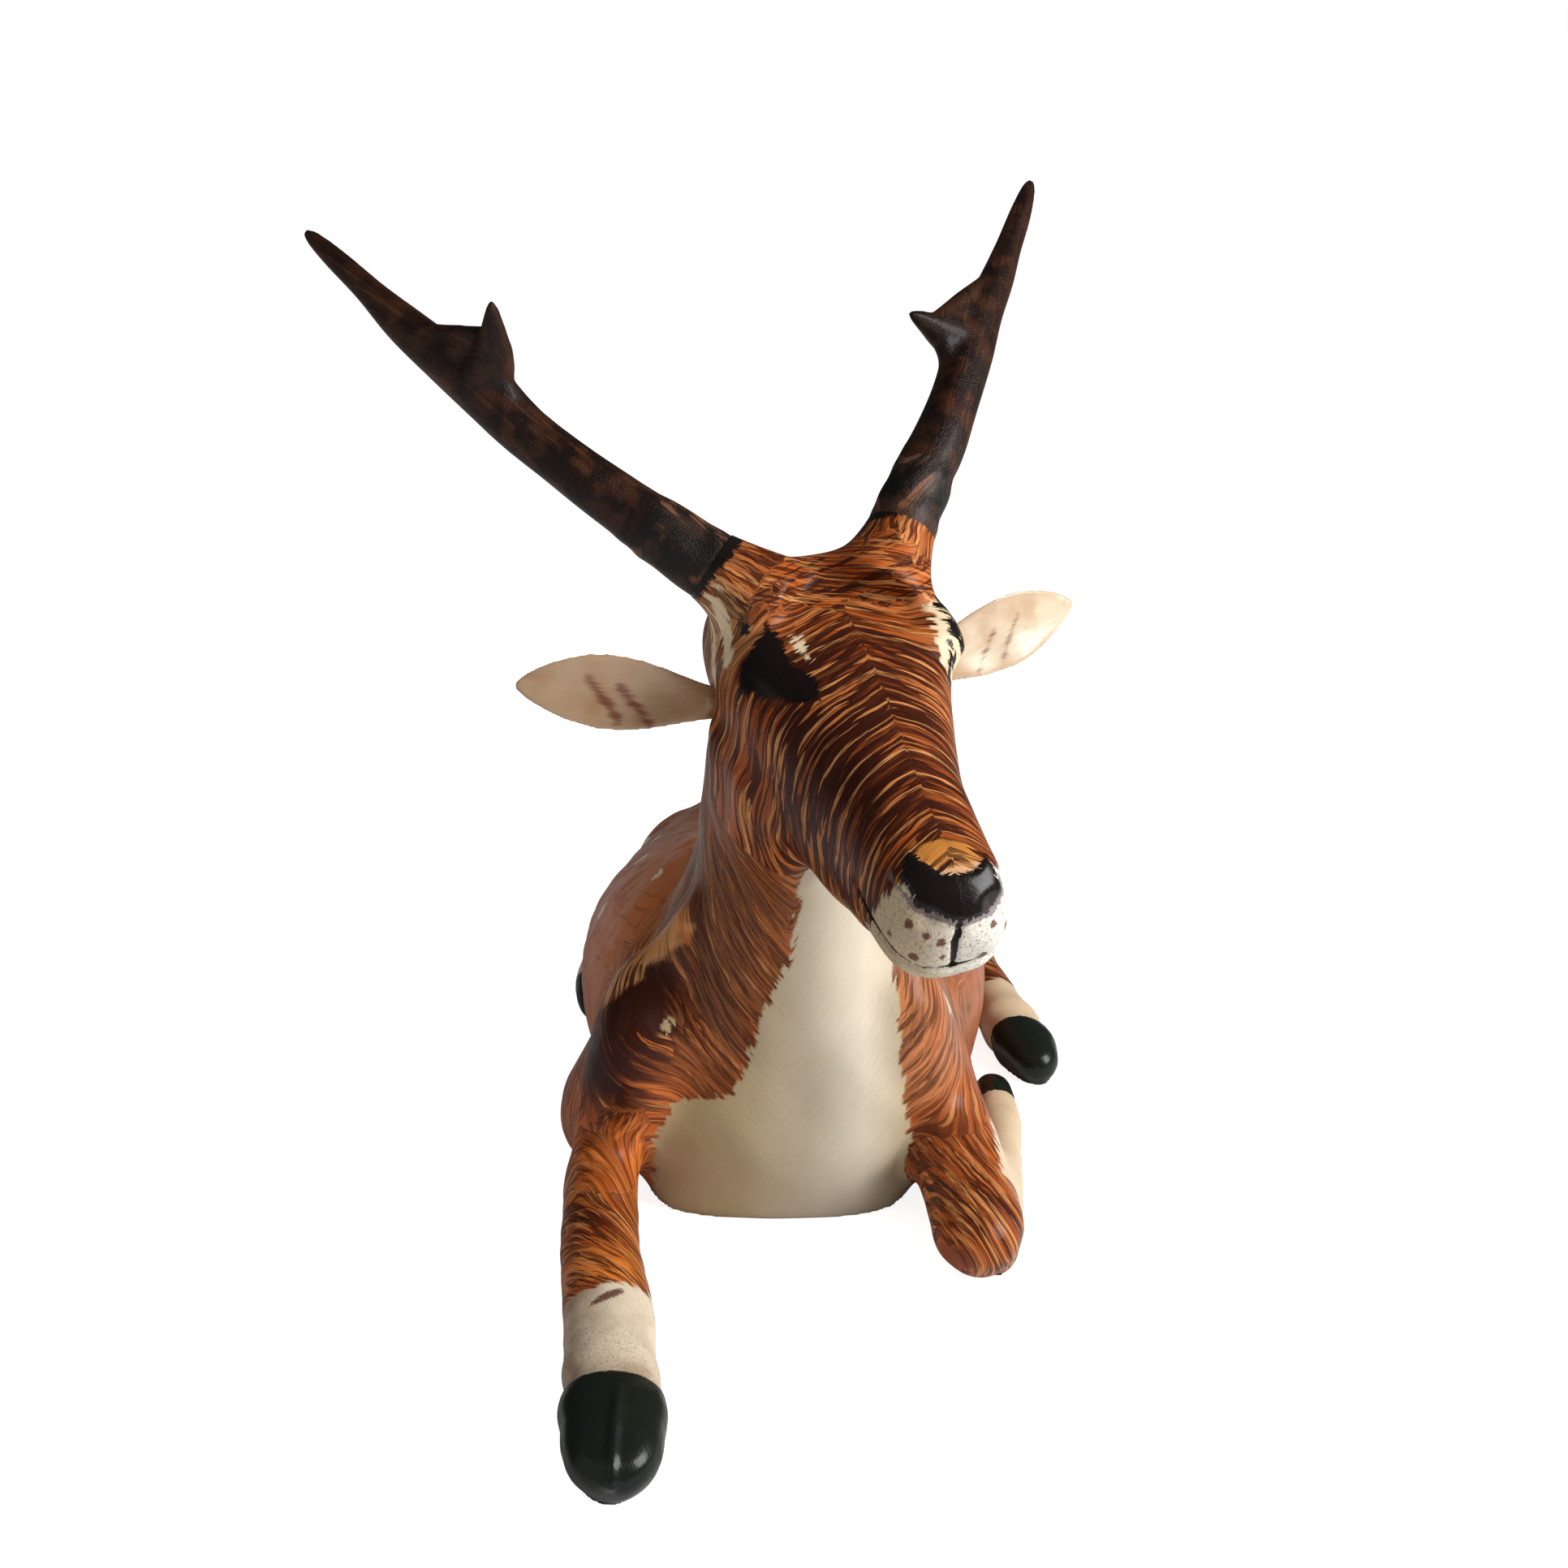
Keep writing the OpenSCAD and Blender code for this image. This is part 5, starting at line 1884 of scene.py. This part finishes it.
@dataclass(frozen=True)
class Studio:
    """A pale floor, a soft key from the right, a weak fill and the camera."""

    eye: tuple[float, float, float] = (0.0, -325.0, 154.0)
    down: float = 16.59
    lens: float = 35.4
    key: float = 3.6
    fill: float = 0.35
    sky: float = 0.24
    calm: float = 0.19
    glow: float = 0.86
    floor_reach: float = 6000.0
    floor_level: float = -0.3

    def lamp(
        self, name: str, at: tuple, target: tuple, size: float, watts: float, gloss: float
    ) -> None:
        """Adds a soft square lamp.

        Args:
            name: its name.
            at: where it hangs.
            target: the place it looks at.
            size: the length of its sides.
            watts: its power.
            gloss: the share of it that shows in reflections.
        """
        data = bpy.data.lights.new(name, "AREA")
        data.shape = "SQUARE"
        data.size = size * MM
        data.energy = watts
        data.specular_factor = gloss
        lamp = bpy.data.objects.new(name, data)
        lamp.location = Vector(at) * MM
        lamp.rotation_euler = (Vector(at) - Vector(target)).to_track_quat("Z", "Y").to_euler()
        bpy.context.scene.collection.objects.link(lamp)

    def floor(self) -> None:
        """Adds the floor."""
        reach, level = self.floor_reach, self.floor_level
        signs = ((-1, -1), (1, -1), (1, 1), (-1, 1))
        corners = [(x * reach, y * reach, level) for x, y in signs]
        mesh = bpy.data.meshes.new("floor")
        mesh.from_pydata((np.array(corners) * MM).tolist(), [], [(0, 1, 2, 3)])
        material, board, shader = new_material("pale_floor")
        shader.inputs["Base Color"].default_value = (0.95, 0.95, 0.95, 1)
        shader.inputs["Roughness"].default_value = 0.9
        shader.inputs["Emission Color"].default_value = (1, 1, 1, 1)
        seen = board.node("ShaderNodeLightPath").outputs["Is Camera Ray"]
        board.feed(shader.inputs["Emission Strength"], board.math("MULTIPLY", seen, self.glow))
        mesh.materials.append(material)
        new_object("floor", mesh)

    def build(self) -> None:
        """Sets everything up."""
        scene = bpy.context.scene
        self.floor()
        self.lamp("key", (420, -260, 330), (0, -70, 60), 260, self.key, 1.0)
        self.lamp("fill", (-420, -420, 260), (0, -70, 60), 500, self.fill, 0.15)
        world = bpy.data.worlds.new("sky")
        world.use_nodes = True
        background = world.node_tree.nodes["Background"]
        background.inputs["Color"].default_value = (1, 1, 1, 1)
        board = Board(world.node_tree)
        rays = board.node("ShaderNodeLightPath").outputs
        sky = board.math("MULTIPLY_ADD", rays["Is Glossy Ray"], -self.calm, self.sky)
        sky = board.math("MAXIMUM", rays["Is Camera Ray"], sky)
        board.feed(background.inputs["Strength"], sky)
        scene.world = world
        data = bpy.data.cameras.new("camera")
        data.lens = self.lens
        data.clip_start = 0.01
        camera = bpy.data.objects.new("camera", data)
        camera.location = Vector(self.eye) * MM
        camera.rotation_euler = (math.radians(90 - self.down), 0, 0)
        scene.collection.objects.link(camera)
        scene.camera = camera
        scene.view_settings.view_transform = "Standard"


def dress_wooden_pins(material: bpy.types.Material) -> None:
    """Gives the pegs and dowels their bare wood."""
    for name, node in frame["nodes"].items():
        if "peg" in name or "dowel" in name:
            node.data.materials.clear()
            node.data.materials.append(material)
            for polygon in node.data.polygons:
                polygon.material_index = 0


def main() -> None:
    """Builds the stag, its paint and the picture."""
    logging.basicConfig(level=logging.INFO, format="%(message)s")
    fx = Effects()
    Woodwork().build(PaintedCoat().build(fx))
    horn = PatchyCoat("antler_coat", (27, 15, 11), (60, 33, 19), (84, 50, 32), 0.1)
    putty = PatchyCoat("putty_coat", (26, 22, 18), (62, 42, 32), (150, 100, 72), 0.3)
    horn_paint, putty_paint = horn.build(fx), putty.build(fx)
    ear_paint = PaleCoat().build(fx)
    for side in Side:
        Antler(side).build(horn_paint, putty_paint)
        Ear(side).build(ear_paint)
    dress_wooden_pins(BareWood().build(fx))
    Studio().build()
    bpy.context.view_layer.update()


if __name__ == "__main__":
    main()
